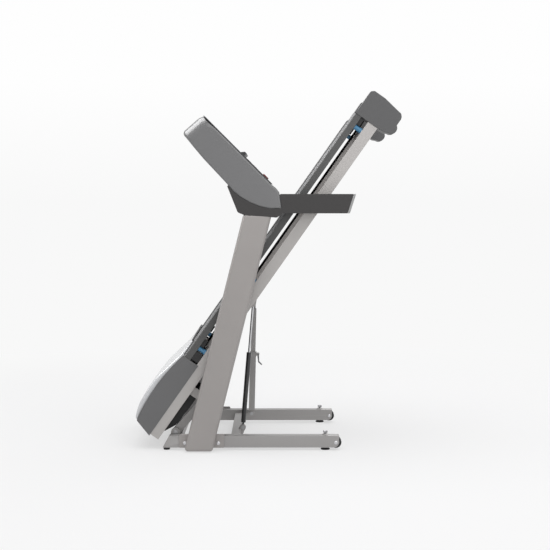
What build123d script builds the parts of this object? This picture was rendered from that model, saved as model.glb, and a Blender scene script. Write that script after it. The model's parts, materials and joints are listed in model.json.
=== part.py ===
from build123d import *
import os
from math import asin, atan2, cos, degrees, hypot, radians, sin, tan

# A folding home treadmill, drawn with its deck locked upright for storage.
# X runs from near the front tips of the base rails towards the runner's end, Y from the runner's
# left (-Y) to the right (+Y) and Z up from the floor.  All sizes are millimetres and degrees.
SIDES = {"left": -1, "right": 1}

# ------------------------------------------------------------------ clearances
SEAT = 0.3                 # between a moulding and the part it is fitted round
RUNNING = 0.05             # radial, between a shaft or pin and its bore
SLIP = 0.3                 # each side, between pieces that slide past each other

# ------------------------------------------------------------------ base
rail_length = 746
rail_size = 50
rail_wall = 2.5
rail_height = 12           # the rails' underside above the floor
rail_tip_lead = 6          # of the slanted tips ahead of X = 0
rail_tip_slope = 28        # set-back of the top of the slanted front end
cross_tube = 37            # square tube between the rails, behind the masts
cross_tube_x = 283
front_tube_x = 24
front_tube_width = 42
front_tube_height = 34
front_foot_radius = 14
front_foot_x = 10
wheel_radius = 24
wheel_width = 38
wheel_inset = 13.5         # wheel centre ahead of the rails' rear end
wheel_height = 33
wheel_axle_radius = 4
leveller_inset = 58        # leveller centre ahead of the rails' rear end
leveller_pad_radius = 19.5
leveller_pad_height = 6
leveller_stem_radius = 5
leveller_nut_radius = 17.5
leveller_nut_height = 6
leveller_travel = 4.5      # up or down from the height it stands at
leveller_head_radius = 10
leveller_head_height = 9

# ------------------------------------------------------------------ masts
mast_foot_x = 163
mast_lean = 14.1
mast_depth = 116           # across the tube, seen from the side
mast_thickness = 49
mast_corner = 15
mast_wall = 2.5
mast_bottom = 4
mast_top = 1006
foot_plate_thickness = 6
foot_plate_front = 64
foot_plate_length = 193
foot_plate_top = 70
mast_bolt_radius = 4
mast_bolt_head_radius = 8
mast_bolt_height = 32
mast_bolt_xs = (90, 231)

# ------------------------------------------------------------------ deck placing and fold
fold_angle = 54.86         # of the stored deck above the floor
fold_pivot_x = 45
fold_pivot_z = 67
pivot_v = 51               # the fold pivot in the deck's own directions:
pivot_u = -44.5            # V along the deck from its front end, U up from its tubes' underside
pivot_shaft_radius = 10
pivot_ear_radius = 20
pivot_ear_thickness = 12
ear_gap = 2                # side play between an ear and the knuckle beside it
lift_arm_length = 190
lift_arm_rise = 48.4       # of the lift arms above the floor, stored
lift_arm_thickness = 24
lift_arm_depth = 34
lift_pin_radius = 9
lift_tube_radius = 15
incline_range = 30         # turn of the lift frame from the lowest to the highest incline

# ------------------------------------------------------------------ deck
deck_tube_width = 30
deck_tube_height = 48
deck_tube_wall = 2
deck_half_width = 350
deck_tube_start = -11
deck_tube_end = 1690
cross_rail_height = 40
cross_rail_width = 30
cross_rail_vs = (15, 330, 708, 1150, 1570)
cushion_height = 35
cushion_radius = 12
cushion_vs = (409, 780, 1182, 1561)
stop_block_height = 17     # of the blocks under the board beside the end pads
stop_block_length = 33
block_half_width = 12
guard_length = 30            # of the guards over the front roller's axle ends
guard_inner_gap = 18.5
board_thickness = 19
board_start = 403
board_end = 1604
board_edge = 10            # the board's set-back from the deck's side
belt_thickness = 2
belt_half_width = 254
roller_radius = 20
roller_axle_radius = 8
front_roller_v = 372
rear_roller_v = 1650
roller_overhang = 8        # of the rollers past the belt's edges
roller_pulley_radius = 24
axle_plate_thickness = 8
foot_rail_start = 347
foot_rail_end = 1609
foot_rail_height = 29.5
belt_gap = 4               # between the belt's edge and each foot rail
foot_rail_wall = 3
foot_rail_crest = 7        # of the rail's top above its outer edge
foot_rail_shoulder = 14    # width of the slope between the two
rear_cap_overlap = 8       # of the rear caps over the foot rails' inner edges
rear_cap_wall = 3
rear_cap_corner = 5
rear_cap_length = 122
rear_heel_back = 35        # of the round heel's centre behind the cap's front edge
rear_heel_drop = 46        # and below the deck tubes
rear_heel_radius = 26
rear_pad_thickness = 2     # of the rubber let in round the heel

# ------------------------------------------------------------------ motor bay
motor_v = 140
motor_u = 62
motor_radius = 48
motor_clearance = 52       # from the middle of the drive belt to the motor's end
motor_length = 180
motor_shaft_radius = 8
motor_pulley_radius = 18
pulley_width = 20
drive_belt_thickness = 1.8
drive_belt_gap = 15        # from the roller's end to the middle of the drive belt
incline_motor_v = 64
incline_motor_u = 22
incline_motor_inset = 206  # of the incline motor from the lift bracket beside it
incline_side_motor = 76    # how far its motor stands out beside the gearbox
incline_lug_length = 75    # of the lug that the screw tube pulls, above the lift frame's tube
screw_tube_radius = 9
screw_eye_radius = 11
lug_gap = 22               # between the lug's two plates
pan_end = 216              # rear end of the tray under the motor bay
lug_notch = 32             # length and side play of the tray's notch for the lug
lug_notch_gap = 5
bay_plate_thickness = 4
control_board_width = 84
control_board_start = 90
control_board_length = 210
hood_wall = 4
hood_crown = 163           # the silver cover's highest line, above the tubes' underside
hood_side_crown = 160
hood_cover_low = 112
hood_side_overlap = 7      # of the hood's sides over the deck tubes
hood_cover_inset = 7       # of the silver cover from the deck's side
hood_end = 420
hood_lip_thickness = 6
hood_lip_top = 127

# ------------------------------------------------------------------ struts
gas_pivot_x = 330
lock_pivot_x = 362
strut_pivot_z = 55
gas_y = -114
lock_inset = 80            # of the lock strut from the rail's middle
strut_top_v = 683
strut_top_u = -4
gas_body_radius = 10.5
gas_body_length = 336
gas_rod_radius = 5
gas_eye_width = 10
strut_pin_radius = 5
strut_eye_radius = 10.5
cheek_thickness = 6
cheek_radius = 13
lock_tube_wall = 2.7
lock_tube_length = 294
lock_inner = 22
lock_inner_wall = 2
lock_eye_width = 16
lock_neck = 52             # from the square tube's end to its upper eye
latch_drop = 48

# ------------------------------------------------------------------ console
console_overhang = 2       # of the console's ends past the masts
console_wall = 4
face_low_x = 461           # lower edge of the sloping face
face_low_z = 1133
face_length = 402
face_panel = 4
console_middle_bottom = 1100   # underside between the masts, clear of the stored deck
ledge_height = 17
ledge_w = 176              # up the face
ledge_half = 170
display_width = 330
display_height = 130
display_w = 300
button_travel = 1.6
cup_radius = 39
cup_inset = 127            # of the cup wells from the console's ends
cup_w = 88
fan_radius = 34
fan_w = 124
fan_back = -24             # the rotor's back, below the face
fan_spindle_radius = 3
arm_end_x = 786            # lower corner of the handrail's slanted end
arm_end_slant = 26
arm_height = 81
arm_bottom = 1009
arm_wall = 3.5
arm_cap = 11
frame_tube = 30            # square tube inside the handrails
frame_arm_z = 1035         # its underside
frame_beam = 30            # square tube between the masts
frame_beam_set_back = 36.7  # of the beam's rear face from the masts' centre lines
frame_beam_z = 1104
frame_leg_depth = 46
frame_leg_width = 26
frame_spigot_length = 88   # how far the frame reaches down inside each mast
frame_wall = 3
cup_bottom = frame_beam_z + frame_beam + 2


# ================================================================== helpers
def block(x, y, z):
    """A box from three (low, high) spans."""
    spans = [sorted(span) for span in (x, y, z)]
    sizes = [high - low for low, high in spans]
    middle = [(low + high) / 2 for low, high in spans]
    return Pos(*middle) * Box(*sizes)


def plate(face, y):
    """A sketch in X and Z given its thickness along Y, between the span's two ends."""
    low, high = sorted(y)
    return extrude(Pos(0, high, 0) * (Plane.XZ * face), amount=high - low)


def outline(*points):
    return make_face(Polyline(*points, close=True))


def rounded(points, radius):
    face = outline(*points)
    return fillet(face.vertices(), radius)


def rod(start, end, radius):
    """A round bar between two points."""
    along = Vector(*end) - Vector(*start)
    ground = Plane(origin=start, z_dir=along)
    return extrude(ground * Circle(radius), amount=along.length)


def pin(x, z, y, radius):
    """A round bar along Y through the point (x, z)."""
    return rod((x, min(y), z), (x, max(y), z), radius)


def disc(x, z, radius):
    return Pos(x, z) * Circle(radius)


def link(start, end, radius):
    """The flat outline of a bar with round ends."""
    (x0, z0), (x1, z1) = start, end
    length = hypot(x1 - x0, z1 - z0)
    turn = degrees(atan2(z1 - z0, x1 - x0))
    return Pos((x0 + x1) / 2, (z0 + z1) / 2) * Rot(0, 0, turn) * SlotCenterToCenter(length, 2 * radius)


def loop(first, first_radius, second, second_radius):
    """The outline of a belt's run round two pulleys."""
    circles = disc(*first, first_radius) + disc(*second, second_radius)
    return make_hull(circles.edges())


def mirrored(y, side):
    """A span of Y given on the right, put on either side."""
    return tuple(side * value for value in y)


# ================================================================== where the deck lies
fold = radians(fold_angle)
pivot = (fold_pivot_x, fold_pivot_z)
deck_origin = (
    fold_pivot_x - pivot_v * cos(fold) + pivot_u * sin(fold),
    fold_pivot_z - pivot_v * sin(fold) - pivot_u * cos(fold),
)
DECK = Pos(deck_origin[0], 0, deck_origin[1]) * Rot(0, -fold_angle, 0)


def deck_point(v, u, angle=fold_angle, origin=deck_origin):
    """X and Z of a point given along (v) and above (u) the deck."""
    turn = radians(angle)
    return (origin[0] + v * cos(turn) - u * sin(turn), origin[1] + v * sin(turn) + u * cos(turn))


def turned(point, centre, angle):
    """A point swung about another, positive from X towards Z."""
    turn = radians(angle)
    dx, dz = point[0] - centre[0], point[1] - centre[1]
    return (centre[0] + dx * cos(turn) - dz * sin(turn), centre[1] + dx * sin(turn) + dz * cos(turn))


# Lift frame: from the fold pivot to the pins that carry the deck.
lift_pin = (
    fold_pivot_x + lift_arm_length * cos(radians(lift_arm_rise)),
    fold_pivot_z + lift_arm_length * sin(radians(lift_arm_rise)),
)
lift_v = pivot_v + lift_arm_length * cos(radians(lift_arm_rise - fold_angle))
lift_u = pivot_u + lift_arm_length * sin(radians(lift_arm_rise - fold_angle))
lug_tip = (lift_v, lift_u + incline_lug_length)

# Unfolding ends when the round heels of the rear caps meet the floor.
heel_v = foot_rail_end + rear_heel_back
heel_u = -rear_heel_drop
heel_reach = hypot(heel_v - pivot_v, heel_u - pivot_u)
heel_bearing = degrees(atan2(heel_u - pivot_u, heel_v - pivot_v))
level_angle = degrees(asin((rear_heel_radius - fold_pivot_z) / heel_reach)) - heel_bearing
fold_travel = fold_angle - level_angle

# The incline raises the lift pins; the deck's own turn keeps the heels on the floor.
raised_pin = turned(lift_pin, pivot, incline_range - fold_travel)
heel_from_pin = hypot(heel_v - lift_v, heel_u - lift_u)
heel_pin_bearing = degrees(atan2(heel_u - lift_u, heel_v - lift_v))
raised_angle = degrees(asin((rear_heel_radius - raised_pin[1]) / heel_from_pin)) - heel_pin_bearing
deck_counter_turn = incline_range + level_angle - raised_angle

# Struts: length and bearing when stored, unfolded, and unfolded at the top of the incline.
strut_top = deck_point(strut_top_v, strut_top_u)


def strut_states(low):
    flat_top = turned(strut_top, pivot, -fold_travel)
    reach = (strut_top_v - lift_v, strut_top_u - lift_u)
    raised_top = deck_point(*reach, angle=raised_angle, origin=raised_pin)
    states = []
    for top in (strut_top, flat_top, raised_top):
        dx, dz = top[0] - low[0], top[1] - low[1]
        states.append((hypot(dx, dz), degrees(atan2(dz, dx))))
    return states


gas_low = (gas_pivot_x, strut_pivot_z)
lock_low = (lock_pivot_x, strut_pivot_z)
gas_states = strut_states(gas_low)
lock_states = strut_states(lock_low)

# Incline screw: length when stored and when fully drawn in, measured on the deck.
screw_foot = (incline_motor_v, incline_motor_u)
drawn_tip = turned(lug_tip, (lift_v, lift_u), deck_counter_turn)
screw_length = hypot(lug_tip[0] - screw_foot[0], lug_tip[1] - screw_foot[1])
screw_drawn = hypot(drawn_tip[0] - screw_foot[0], drawn_tip[1] - screw_foot[1])
screw_bearing = degrees(atan2(lug_tip[1] - screw_foot[1], lug_tip[0] - screw_foot[0]))
lock_tube = lock_inner + 2 * (SLIP + lock_tube_wall)

# Levels that several pieces share.
rail_top = rail_height + rail_size
rail_half = deck_half_width        # the rails stand under the deck's edges
rail_outer = rail_half + rail_size / 2
rail_inner = rail_half - rail_size / 2
wheel_x = rail_length - wheel_inset
leveller_x = rail_length - leveller_inset
mast_inner = rail_outer + foot_plate_thickness
mast_outer = mast_inner + mast_thickness
ear_outer = rail_inner - 7
ear_inner = ear_outer - pivot_ear_thickness
arm_outer = ear_inner - ear_gap
arm_inner = arm_outer - lift_arm_thickness
tube_inner = deck_half_width - deck_tube_width
board_half_width = deck_half_width - board_edge
hood_cover_half = deck_half_width - hood_cover_inset
foot_rail_inner = belt_half_width + belt_gap
rear_cap_inner = foot_rail_inner + rear_cap_overlap
roller_half_length = belt_half_width + roller_overhang
drive_belt_y = -(roller_half_length + drive_belt_gap)
motor_left = drive_belt_y + motor_clearance
lock_y = rail_half - lock_inset
incline_motor_y = ear_inner - incline_motor_inset
control_board_y = ear_inner - 8 - control_board_width
console_half_width = mast_outer + console_overhang
cup_y = console_half_width - cup_inset
arm_top = arm_bottom + arm_height
tube_middle = deck_half_width - deck_tube_width / 2
pad_span = (rear_cap_inner + 10, deck_half_width - 6)
board_low = deck_tube_height + cushion_height
board_top = board_low + board_thickness
roller_u = board_top - roller_radius
rail_crown = board_low + foot_rail_height
rail_crest = rail_crown + foot_rail_crest
motor_right = motor_left + motor_length


# ================================================================== base
def base_rail(side):
    """Square tube with a slanted, welded-up tip and an open rear end that holds the wheel."""
    low, top = rail_height, rail_top
    end = rail_length
    tip = -rail_tip_lead
    shape = outline((tip, low), (end, low), (end, top), (tip + rail_tip_slope, top))
    rear_corners = shape.vertices().sort_by(Axis.X)[-2:]
    shape = fillet(rear_corners.sort_by(Axis.Y)[:1], rail_size * 0.45)
    half = rail_size / 2
    tube = plate(shape, mirrored((rail_half - half, rail_half + half), side))
    slant = rail_tip_slope / rail_size
    hollow_low, hollow_top = low + rail_wall, top - rail_wall
    tip_wall = 2 * rail_wall
    hollow = outline(
        (tip + slant * rail_wall + tip_wall, hollow_low),
        (end + 1, hollow_low),
        (end + 1, hollow_top),
        (tip + rail_tip_slope + tip_wall, hollow_top),
    )
    inside = half - rail_wall
    tube -= plate(hollow, mirrored((rail_half - inside, rail_half + inside), side))
    mouth = (wheel_x - wheel_radius - 2, end + 1)
    tube -= block(mouth, mirrored((rail_half - inside, rail_half + inside), side), (low - 1, low + rail_wall))
    nut = Pos(leveller_x, side * rail_half, top) * Cone(
        leveller_nut_radius, leveller_head_radius, leveller_nut_height,
        align=(Align.CENTER, Align.CENTER, Align.MIN),
    )
    tube += nut
    tube -= Pos(leveller_x, side * rail_half, rail_top / 2) * Cylinder(leveller_stem_radius + RUNNING, 2 * rail_top)
    tube -= pin(wheel_x, wheel_height, mirrored((rail_inner - 1, rail_outer + 1), side), wheel_axle_radius + RUNNING)
    for x in mast_bolt_xs:
        tube -= pin(x, mast_bolt_height, mirrored((rail_half, rail_outer + 1), side), mast_bolt_radius + SLIP)
    return tube


def front_crossmember():
    """Tube between the rails' tips, with the two ears that carry the pivot shaft."""
    x = (front_tube_x, front_tube_x + front_tube_width)
    z = (rail_height, rail_height + front_tube_height)
    tube = block(x, (-rail_inner, rail_inner), z)
    inside = [(low + rail_wall, high - rail_wall) for low, high in (x, z)]
    tube -= block(inside[0], (-rail_inner, rail_inner), inside[1])
    for side in SIDES.values():
        ear = disc(*pivot, pivot_ear_radius)
        ear += Pos(fold_pivot_x, (z[1] + fold_pivot_z) / 2 - 1) * Rectangle(
            2 * pivot_ear_radius, fold_pivot_z - z[1] + 2)
        span = mirrored((ear_inner, ear_outer), side)
        tube += plate(ear, span)
    tube -= pin(*pivot, (-rail_inner, rail_inner), pivot_shaft_radius + RUNNING)
    return tube


def strut_ears(low, middle, width):
    """Two plates behind the middle crossmember that hold a strut's lower pin."""
    x0 = cross_tube_x + cross_tube
    face = link((x0 - 4, rail_height + cross_tube / 2), low, cheek_radius)
    face += outline(
        (x0, rail_height + 3), (x0 + 6, rail_height + 3), (low[0] + cheek_radius, low[1]),
        (low[0] - cheek_radius, low[1]), (x0 - 4, rail_height + cross_tube - 2), (x0, rail_height + cross_tube),
    )
    inner = width / 2 + SLIP
    ears = [plate(face, (middle + s * inner, middle + s * (inner + cheek_thickness))) for s in (-1, 1)]
    return ears[0] + ears[1]


def mid_crossmember():
    """Square tube between the rails, with the lower brackets of both struts."""
    x = (cross_tube_x, cross_tube_x + cross_tube)
    z = (rail_height, rail_height + cross_tube)
    bar = block(x, (-rail_inner, rail_inner), z)
    bar += strut_ears(gas_low, gas_y, gas_eye_width) + strut_ears(lock_low, lock_y, lock_eye_width)
    bar -= block(
        (x[0] + rail_wall, x[1] - rail_wall), (-rail_inner, rail_inner), (z[0] + rail_wall, z[1] - rail_wall))
    for low, middle in ((gas_low, gas_y), (lock_low, lock_y)):
        bar -= pin(*low, (middle - 40, middle + 40), strut_pin_radius + RUNNING)
    return bar


def front_feet():
    foot = Cylinder(front_foot_radius, rail_height, align=(Align.CENTER, Align.CENTER, Align.MIN))
    return [Pos(front_foot_x, side * rail_half, 0) * foot for side in SIDES.values()]


def leveller(side):
    """Rubber pad on a screwed stem through the rail, with a head above to turn it by."""
    stem_top = rail_top + leveller_nut_height + leveller_travel
    at = Pos(leveller_x, side * rail_half, 0)
    grow = (Align.CENTER, Align.CENTER, Align.MIN)
    pad = Cylinder(leveller_pad_radius, leveller_pad_height, align=grow)
    pad = fillet(pad.edges().group_by(Axis.Z)[-1], leveller_pad_height / 3)
    stem = Cylinder(leveller_stem_radius, stem_top, align=grow)
    head = Pos(0, 0, stem_top) * extrude(RegularPolygon(leveller_head_radius, 6), amount=leveller_head_height)
    return at * (pad + stem + head)


def transport_wheel(side):
    tyre = pin(wheel_x, wheel_height, mirrored((rail_half - wheel_width / 2, rail_half + wheel_width / 2), side),
               wheel_radius)
    tyre = fillet(tyre.edges().filter_by(GeomType.CIRCLE), 3)
    return tyre - pin(wheel_x, wheel_height, mirrored((rail_inner, rail_outer), side),
                      wheel_axle_radius + RUNNING)


def base_bolts():
    """The masts' four bolts with their nuts, and the two axle bolts of the wheels."""
    bolts = []
    for side in SIDES.values():
        for x in mast_bolt_xs:
            z = mast_bolt_height
            head = pin(x, z, mirrored((mast_inner, mast_inner + 5), side), mast_bolt_head_radius)
            nut = pin(x, z, mirrored((rail_outer - rail_wall - 6, rail_outer - rail_wall), side),
                      mast_bolt_head_radius - 1)
            shank = pin(x, z, mirrored((rail_outer - rail_wall - 8, mast_inner), side), mast_bolt_radius)
            bolts.append(head + nut + shank)
        head = pin(wheel_x, wheel_height, mirrored((rail_outer, rail_outer + 3), side), 8)
        nut = pin(wheel_x, wheel_height, mirrored((rail_inner - 5, rail_inner), side), 7)
        shank = pin(wheel_x, wheel_height, mirrored((rail_inner, rail_outer), side), wheel_axle_radius)
        bolts.append(head + nut + shank)
    return bolts


# ================================================================== masts and console frame
mast_axis = Vector(sin(radians(mast_lean)), 0, cos(radians(mast_lean)))


def mast_x(z):
    """X of a mast's centre line at a height."""
    return mast_foot_x + (z - rail_top) * tan(radians(mast_lean))


frame_beam_x = mast_x(frame_beam_z) - frame_beam_set_back


def along_mast(depth, thickness, side, bottom, top, corner=0):
    """A bar that follows a mast's centre line, cut level at both ends."""
    middle = mast_inner + mast_thickness / 2
    start = Vector(mast_x(bottom - 60), side * middle, bottom - 60)
    section = Rectangle(depth, thickness) if corner == 0 else RectangleRounded(depth, thickness, corner)
    ground = Plane(origin=start, x_dir=(mast_axis.Z, 0, -mast_axis.X), z_dir=mast_axis)
    bar = extrude(ground * section, amount=(top - bottom + 120) / mast_axis.Z)
    reach = 2 * top
    return bar & block((-reach, reach), (-reach, reach), (bottom, top))


def mast(side):
    """Flat-sided oval tube, leaning back, welded to the plate that bolts it to its rail."""
    tube = along_mast(mast_depth, mast_thickness, side, mast_bottom, mast_top, mast_corner)
    foot = block((foot_plate_front, foot_plate_front + foot_plate_length),
                 mirrored((rail_outer, mast_inner), side), (rail_height, foot_plate_top))
    tube += foot
    tube -= along_mast(mast_depth - 2 * mast_wall, mast_thickness - 2 * mast_wall, side,
                       mast_bottom - 1, mast_top + 1, mast_corner - mast_wall)
    for x in mast_bolt_xs:
        tube -= pin(x, mast_bolt_height, mirrored((rail_outer - 1, mast_inner + 1), side), mast_bolt_radius + SLIP)
    return tube


def console_frame(grow=0.0):
    """Welded steel frame: a beam between the masts, a leg down inside each mast and a
    tube out along each handrail.  grow makes the slightly larger shape cut out for it."""
    middle = mast_inner + mast_thickness / 2
    g = grow
    frame = block((frame_beam_x - g, frame_beam_x + frame_beam + g), (-middle, middle),
                  (frame_beam_z - g, frame_beam_z + frame_beam + g))
    spigot = [size - 2 * mast_wall - 2 * SEAT for size in (mast_depth, mast_thickness)]
    bottom, top = mast_top - frame_spigot_length, mast_top - 2
    for side in SIDES.values():
        sleeve = along_mast(*spigot, side, bottom, top, mast_corner - mast_wall - SEAT)
        hollow = [size - 2 * frame_wall for size in spigot]
        frame += sleeve - along_mast(*hollow, side, bottom - 1, top - 2 * frame_wall)
        frame += along_mast(frame_leg_depth + 2 * g, frame_leg_width + 2 * g, side,
                            top - frame_wall, frame_beam_z + 18)
        half = (frame_tube - 4) / 2 + g
        frame += block((mast_x(frame_arm_z), arm_end_x - 20 + g),
                       (side * middle - half, side * middle + half),
                       (frame_arm_z - g, frame_arm_z + frame_tube + g))
    return frame


# ================================================================== console
lip_top = (face_low_x + 30, face_low_z - 36)
console_tip = (face_low_x + 40, face_low_z - 104)
belly = [                  # the console's rounded underside, from the tip to the back
    (face_low_x - 10, face_low_z - 104),
    (face_low_x - 53, face_low_z - 95),
    (face_low_x - 94, face_low_z - 78),
    (face_low_x - 131, face_low_z - 57),
    (face_low_x - 163, face_low_z - 31),
]
back_low = (face_low_x - 194, face_low_z + 5)
back_high = (face_low_x - 285, face_low_z + 102)
nose_low = (face_low_x - 378, face_low_z + 212)
nose_high = (face_low_x - 308, face_low_z + 273)
nose_corner = 16
slope = 2 ** -0.5
FACE = Plane(origin=(face_low_x, 0, face_low_z), x_dir=(0, 1, 0), z_dir=(1, 0, 1))


def face_point(w, out=0.0):
    """X and Z of a point up the sloping face (w) and standing out from it."""
    return (face_low_x - (w - out) * slope, face_low_z + (w + out) * slope)


def console_outline(inset=0.0):
    """The console's side outline, its face line set back by the panel's thickness."""
    low = face_point(0, -face_panel)
    high = face_point(face_length, -face_panel)
    shape = outline(low, (face_low_x + 15, face_low_z - 17), lip_top, console_tip, *belly,
                    back_low, back_high, nose_low, nose_high, high)
    if inset:
        return offset(shape, amount=-inset, kind=Kind.INTERSECTION)
    nose = [shape.vertices().sort_by_distance((*point, 0))[0] for point in (nose_low, nose_high)]
    return fillet(nose, nose_corner)


def console_shell():
    """Grey moulding round the back, ends and underside of the console."""
    half = console_half_width
    shell = plate(console_outline(), (-half, half))
    room = plate(console_outline(console_wall), (console_wall - half, half - console_wall))
    mouth_low, mouth_high = 10, face_length - 10
    x0, z0 = face_point(mouth_low, -30)
    x1, z1 = face_point(mouth_low, 1)
    x2, z2 = face_point(mouth_high, 1)
    x3, z3 = face_point(mouth_high, -30)
    mouth = plate(outline((x0, z0), (x1, z1), (x2, z2), (x3, z3)), (10 - half, half - 10))
    floor_cut = rail_outer + 3
    below = (nose_low[0], console_tip[0] + console_wall), (arm_bottom, console_middle_bottom)
    shell -= block(below[0], (-floor_cut, floor_cut), below[1])
    room -= block(below[0], (-floor_cut - console_wall, floor_cut + console_wall),
                  (arm_bottom, console_middle_bottom + console_wall))
    shell -= room + mouth
    return shell - console_frame(SEAT)


def on_face(sketch, low, high):
    """A sketch drawn on the sloping face, made solid between two heights above it."""
    return extrude(FACE.offset(low) * sketch, amount=high - low)


buttons = {
    # name: (y on the face, up the face, width, height)
    "start_button": (86, 48, 46, 26),
    "stop_button": (-86, 48, 46, 26),
    "speed_up_button": (205, 142, 34, 24),
    "speed_down_button": (205, 106, 34, 24),
    "incline_up_button": (-205, 142, 34, 24),
    "incline_down_button": (-205, 106, 34, 24),
}
button_corner = 6
key_width = 34
key_height = 22
key_w = 48


def cup_well(radius, bottom):
    x, _ = face_point(cup_w)
    top = face_low_z + face_length
    wells = [Pos(x, side * cup_y, (bottom + top) / 2) * Cylinder(radius, top - bottom) for side in SIDES.values()]
    return wells[0] + wells[1]


def console_face():
    """Dark control panel, with two cup wells, a reading ledge, grilles and its openings."""
    half = console_half_width - 3
    sheet = Pos(0, face_length / 2) * RectangleRounded(2 * half, face_length, 12)
    panel = on_face(sheet, -face_panel, 0)
    below = on_face(Pos(0, face_length / 2) * Rectangle(2 * half, face_length), -300, -face_panel / 2)
    panel += cup_well(cup_radius + 3, cup_bottom) & below
    x0, z0 = face_point(ledge_w)
    x1, z1 = face_point(ledge_w + 20)
    hook = outline((x0, z0), face_point(ledge_w, ledge_height), face_point(ledge_w + 9, ledge_height),
                   face_point(ledge_w + 20, 4), (x1, z1), face_point(ledge_w + 10, -2))
    panel += plate(hook, (-ledge_half, ledge_half))
    panel -= cup_well(cup_radius, cup_bottom + 4)
    panel -= on_face(Pos(0, display_w) * RectangleRounded(display_width, display_height, 8), -20, 20)
    for y, w, width, height in buttons.values():
        panel -= on_face(Pos(y, w) * RectangleRounded(width, height, button_corner), -20, 20)
    panel -= on_face(Pos(0, key_w) * Rectangle(key_width, key_height), -20, 20)
    for ring in range(3):
        outer = fan_radius - 2 - 10 * ring
        slot = Pos(0, fan_w) * (Circle(outer) - Circle(outer - 6))
        bars = Pos(0, fan_w) * (Rectangle(2 * fan_radius, 4) + Rectangle(4, 2 * fan_radius))
        panel -= on_face(slot - bars, -20, 20)
    panel += on_face(Pos(0, fan_w) * Circle(fan_spindle_radius), fan_back - 2, -face_panel / 2)
    for side in SIDES.values():
        for row in range(6):
            panel -= on_face(Pos(side * 300, 265 + 14 * row) * SlotOverall(110, 5), -20, 20)
    return panel


def display_lens():
    """Smoked window that drops into the panel, with a step behind it."""
    front = Pos(0, display_w) * RectangleRounded(display_width - 2 * SLIP, display_height - 2 * SLIP, 7.7)
    flange = Pos(0, display_w) * Rectangle(display_width + 12, display_height + 12)
    return on_face(front, -face_panel, -0.5) + on_face(flange, -face_panel - 2, -face_panel)


def display_board():
    """Circuit board behind the window, with the block of the display on it."""
    board = on_face(Pos(0, display_w) * Rectangle(display_width + 12, display_height + 12),
                    -face_panel - 16, -face_panel - 14)
    screen = on_face(Pos(0, display_w) * Rectangle(display_width - 20, display_height - 20),
                     -face_panel - 14, -face_panel - 2)
    return board + screen


def button(name):
    """Moulded key cap, proud of the panel by a little more than its travel."""
    y, w, width, height = buttons[name]
    cap = Pos(y, w) * RectangleRounded(width - 2 * SLIP, height - 2 * SLIP, button_corner - SLIP)
    flange = Pos(y, w) * Rectangle(width + 4, height + 4)
    key = on_face(cap, -face_panel - 2, button_travel + 1)
    return key + on_face(flange, -face_panel - 2, -face_panel - SLIP)


def safety_key():
    """Pull-out key that stops the belt, in its socket at the foot of the panel."""
    stem = Pos(0, key_w) * Rectangle(key_width - 2 * SLIP, key_height - 2 * SLIP)
    grip = Pos(0, key_w) * RectangleRounded(key_width + 10, key_height + 8, 6)
    return on_face(stem, -10, 0.5) + on_face(grip, 0.5, 9)


def fan_rotor():
    """Small fan behind the ring grille: a hub with seven blades."""
    hub = on_face(Pos(0, fan_w) * Circle(9), fan_back, -face_panel - 1)
    for step in range(7):
        blade = Rot(0, 0, step * 360 / 7) * (Pos(fan_radius / 2, 0) * Rectangle(fan_radius - 4, 5))
        hub += on_face(Pos(0, fan_w) * blade, fan_back + 4, fan_back + 14)
    return hub - on_face(Pos(0, fan_w) * Circle(fan_spindle_radius + RUNNING), fan_back - 3, 0)


def arm_outline():
    """Charcoal moulding: the shroud round the mast's top, running out as the handrail."""
    rise = (arm_top - console_tip[1]) / (lip_top[1] - console_tip[1])
    top_start = (console_tip[0] + rise * (lip_top[0] - console_tip[0]), arm_top)
    return outline(
        back_low, (face_low_x - 144, arm_bottom + 4), (face_low_x - 120, arm_bottom - 6),
        (face_low_x + 20, arm_bottom - 18), (face_low_x + 36, arm_bottom - 7), (face_low_x + 42, arm_bottom),
        (arm_end_x - arm_cap, arm_bottom), (arm_end_x - arm_cap + arm_end_slant, arm_top),
        top_start, console_tip, *belly,
    )


def arm_span(side, inset=0.0):
    return mirrored((mast_inner - 2 + inset, mast_outer - inset), side)


def handrail(side):
    """Hollow arm with the mast's top let into its underside."""
    solid = plate(arm_outline(), arm_span(side))
    room = offset(arm_outline(), amount=-arm_wall, kind=Kind.INTERSECTION)
    solid -= plate(room, arm_span(side, arm_wall))
    mouth = outline((arm_end_x - 60, arm_bottom + arm_wall), (arm_end_x + 60, arm_bottom + arm_wall),
                    (arm_end_x + 60, arm_top - arm_wall), (arm_end_x - 40, arm_top - arm_wall))
    solid -= plate(mouth, arm_span(side, arm_wall))
    g = 2 * SEAT
    solid -= along_mast(mast_depth + g, mast_thickness + g, side, 900, mast_top + SEAT, mast_corner)
    solid -= block((frame_beam_x - SEAT, frame_beam_x + frame_beam + SEAT),
                   mirrored((0, mast_inner + 6), side),
                   (frame_beam_z - SEAT, frame_beam_z + frame_beam + SEAT))
    return solid - console_frame(SEAT)


def arm_end_caps():
    """Slanted plugs in the ends of the handrails."""
    low = (arm_end_x - arm_cap, arm_bottom)
    high = (arm_end_x - arm_cap + arm_end_slant, arm_top)
    cap = outline(low, (low[0] + arm_cap, arm_bottom), (high[0] + arm_cap, arm_top), high)
    slant = arm_end_slant / (arm_top - arm_bottom)
    w = arm_wall + SEAT
    plug_low, plug_high = arm_bottom + w, arm_top - w
    plug = outline(
        (low[0] + slant * w - 8, plug_low), (low[0] + slant * w, plug_low),
        (high[0] - slant * w, plug_high), (high[0] - slant * w - 8, plug_high))
    caps = []
    for side in SIDES.values():
        caps.append(plate(cap, arm_span(side)) + plate(plug, arm_span(side, w)))
    return caps


# ================================================================== lift frame and struts
def pivot_shaft():
    return pin(*pivot, (-ear_outer, ear_outer), pivot_shaft_radius)


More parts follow.
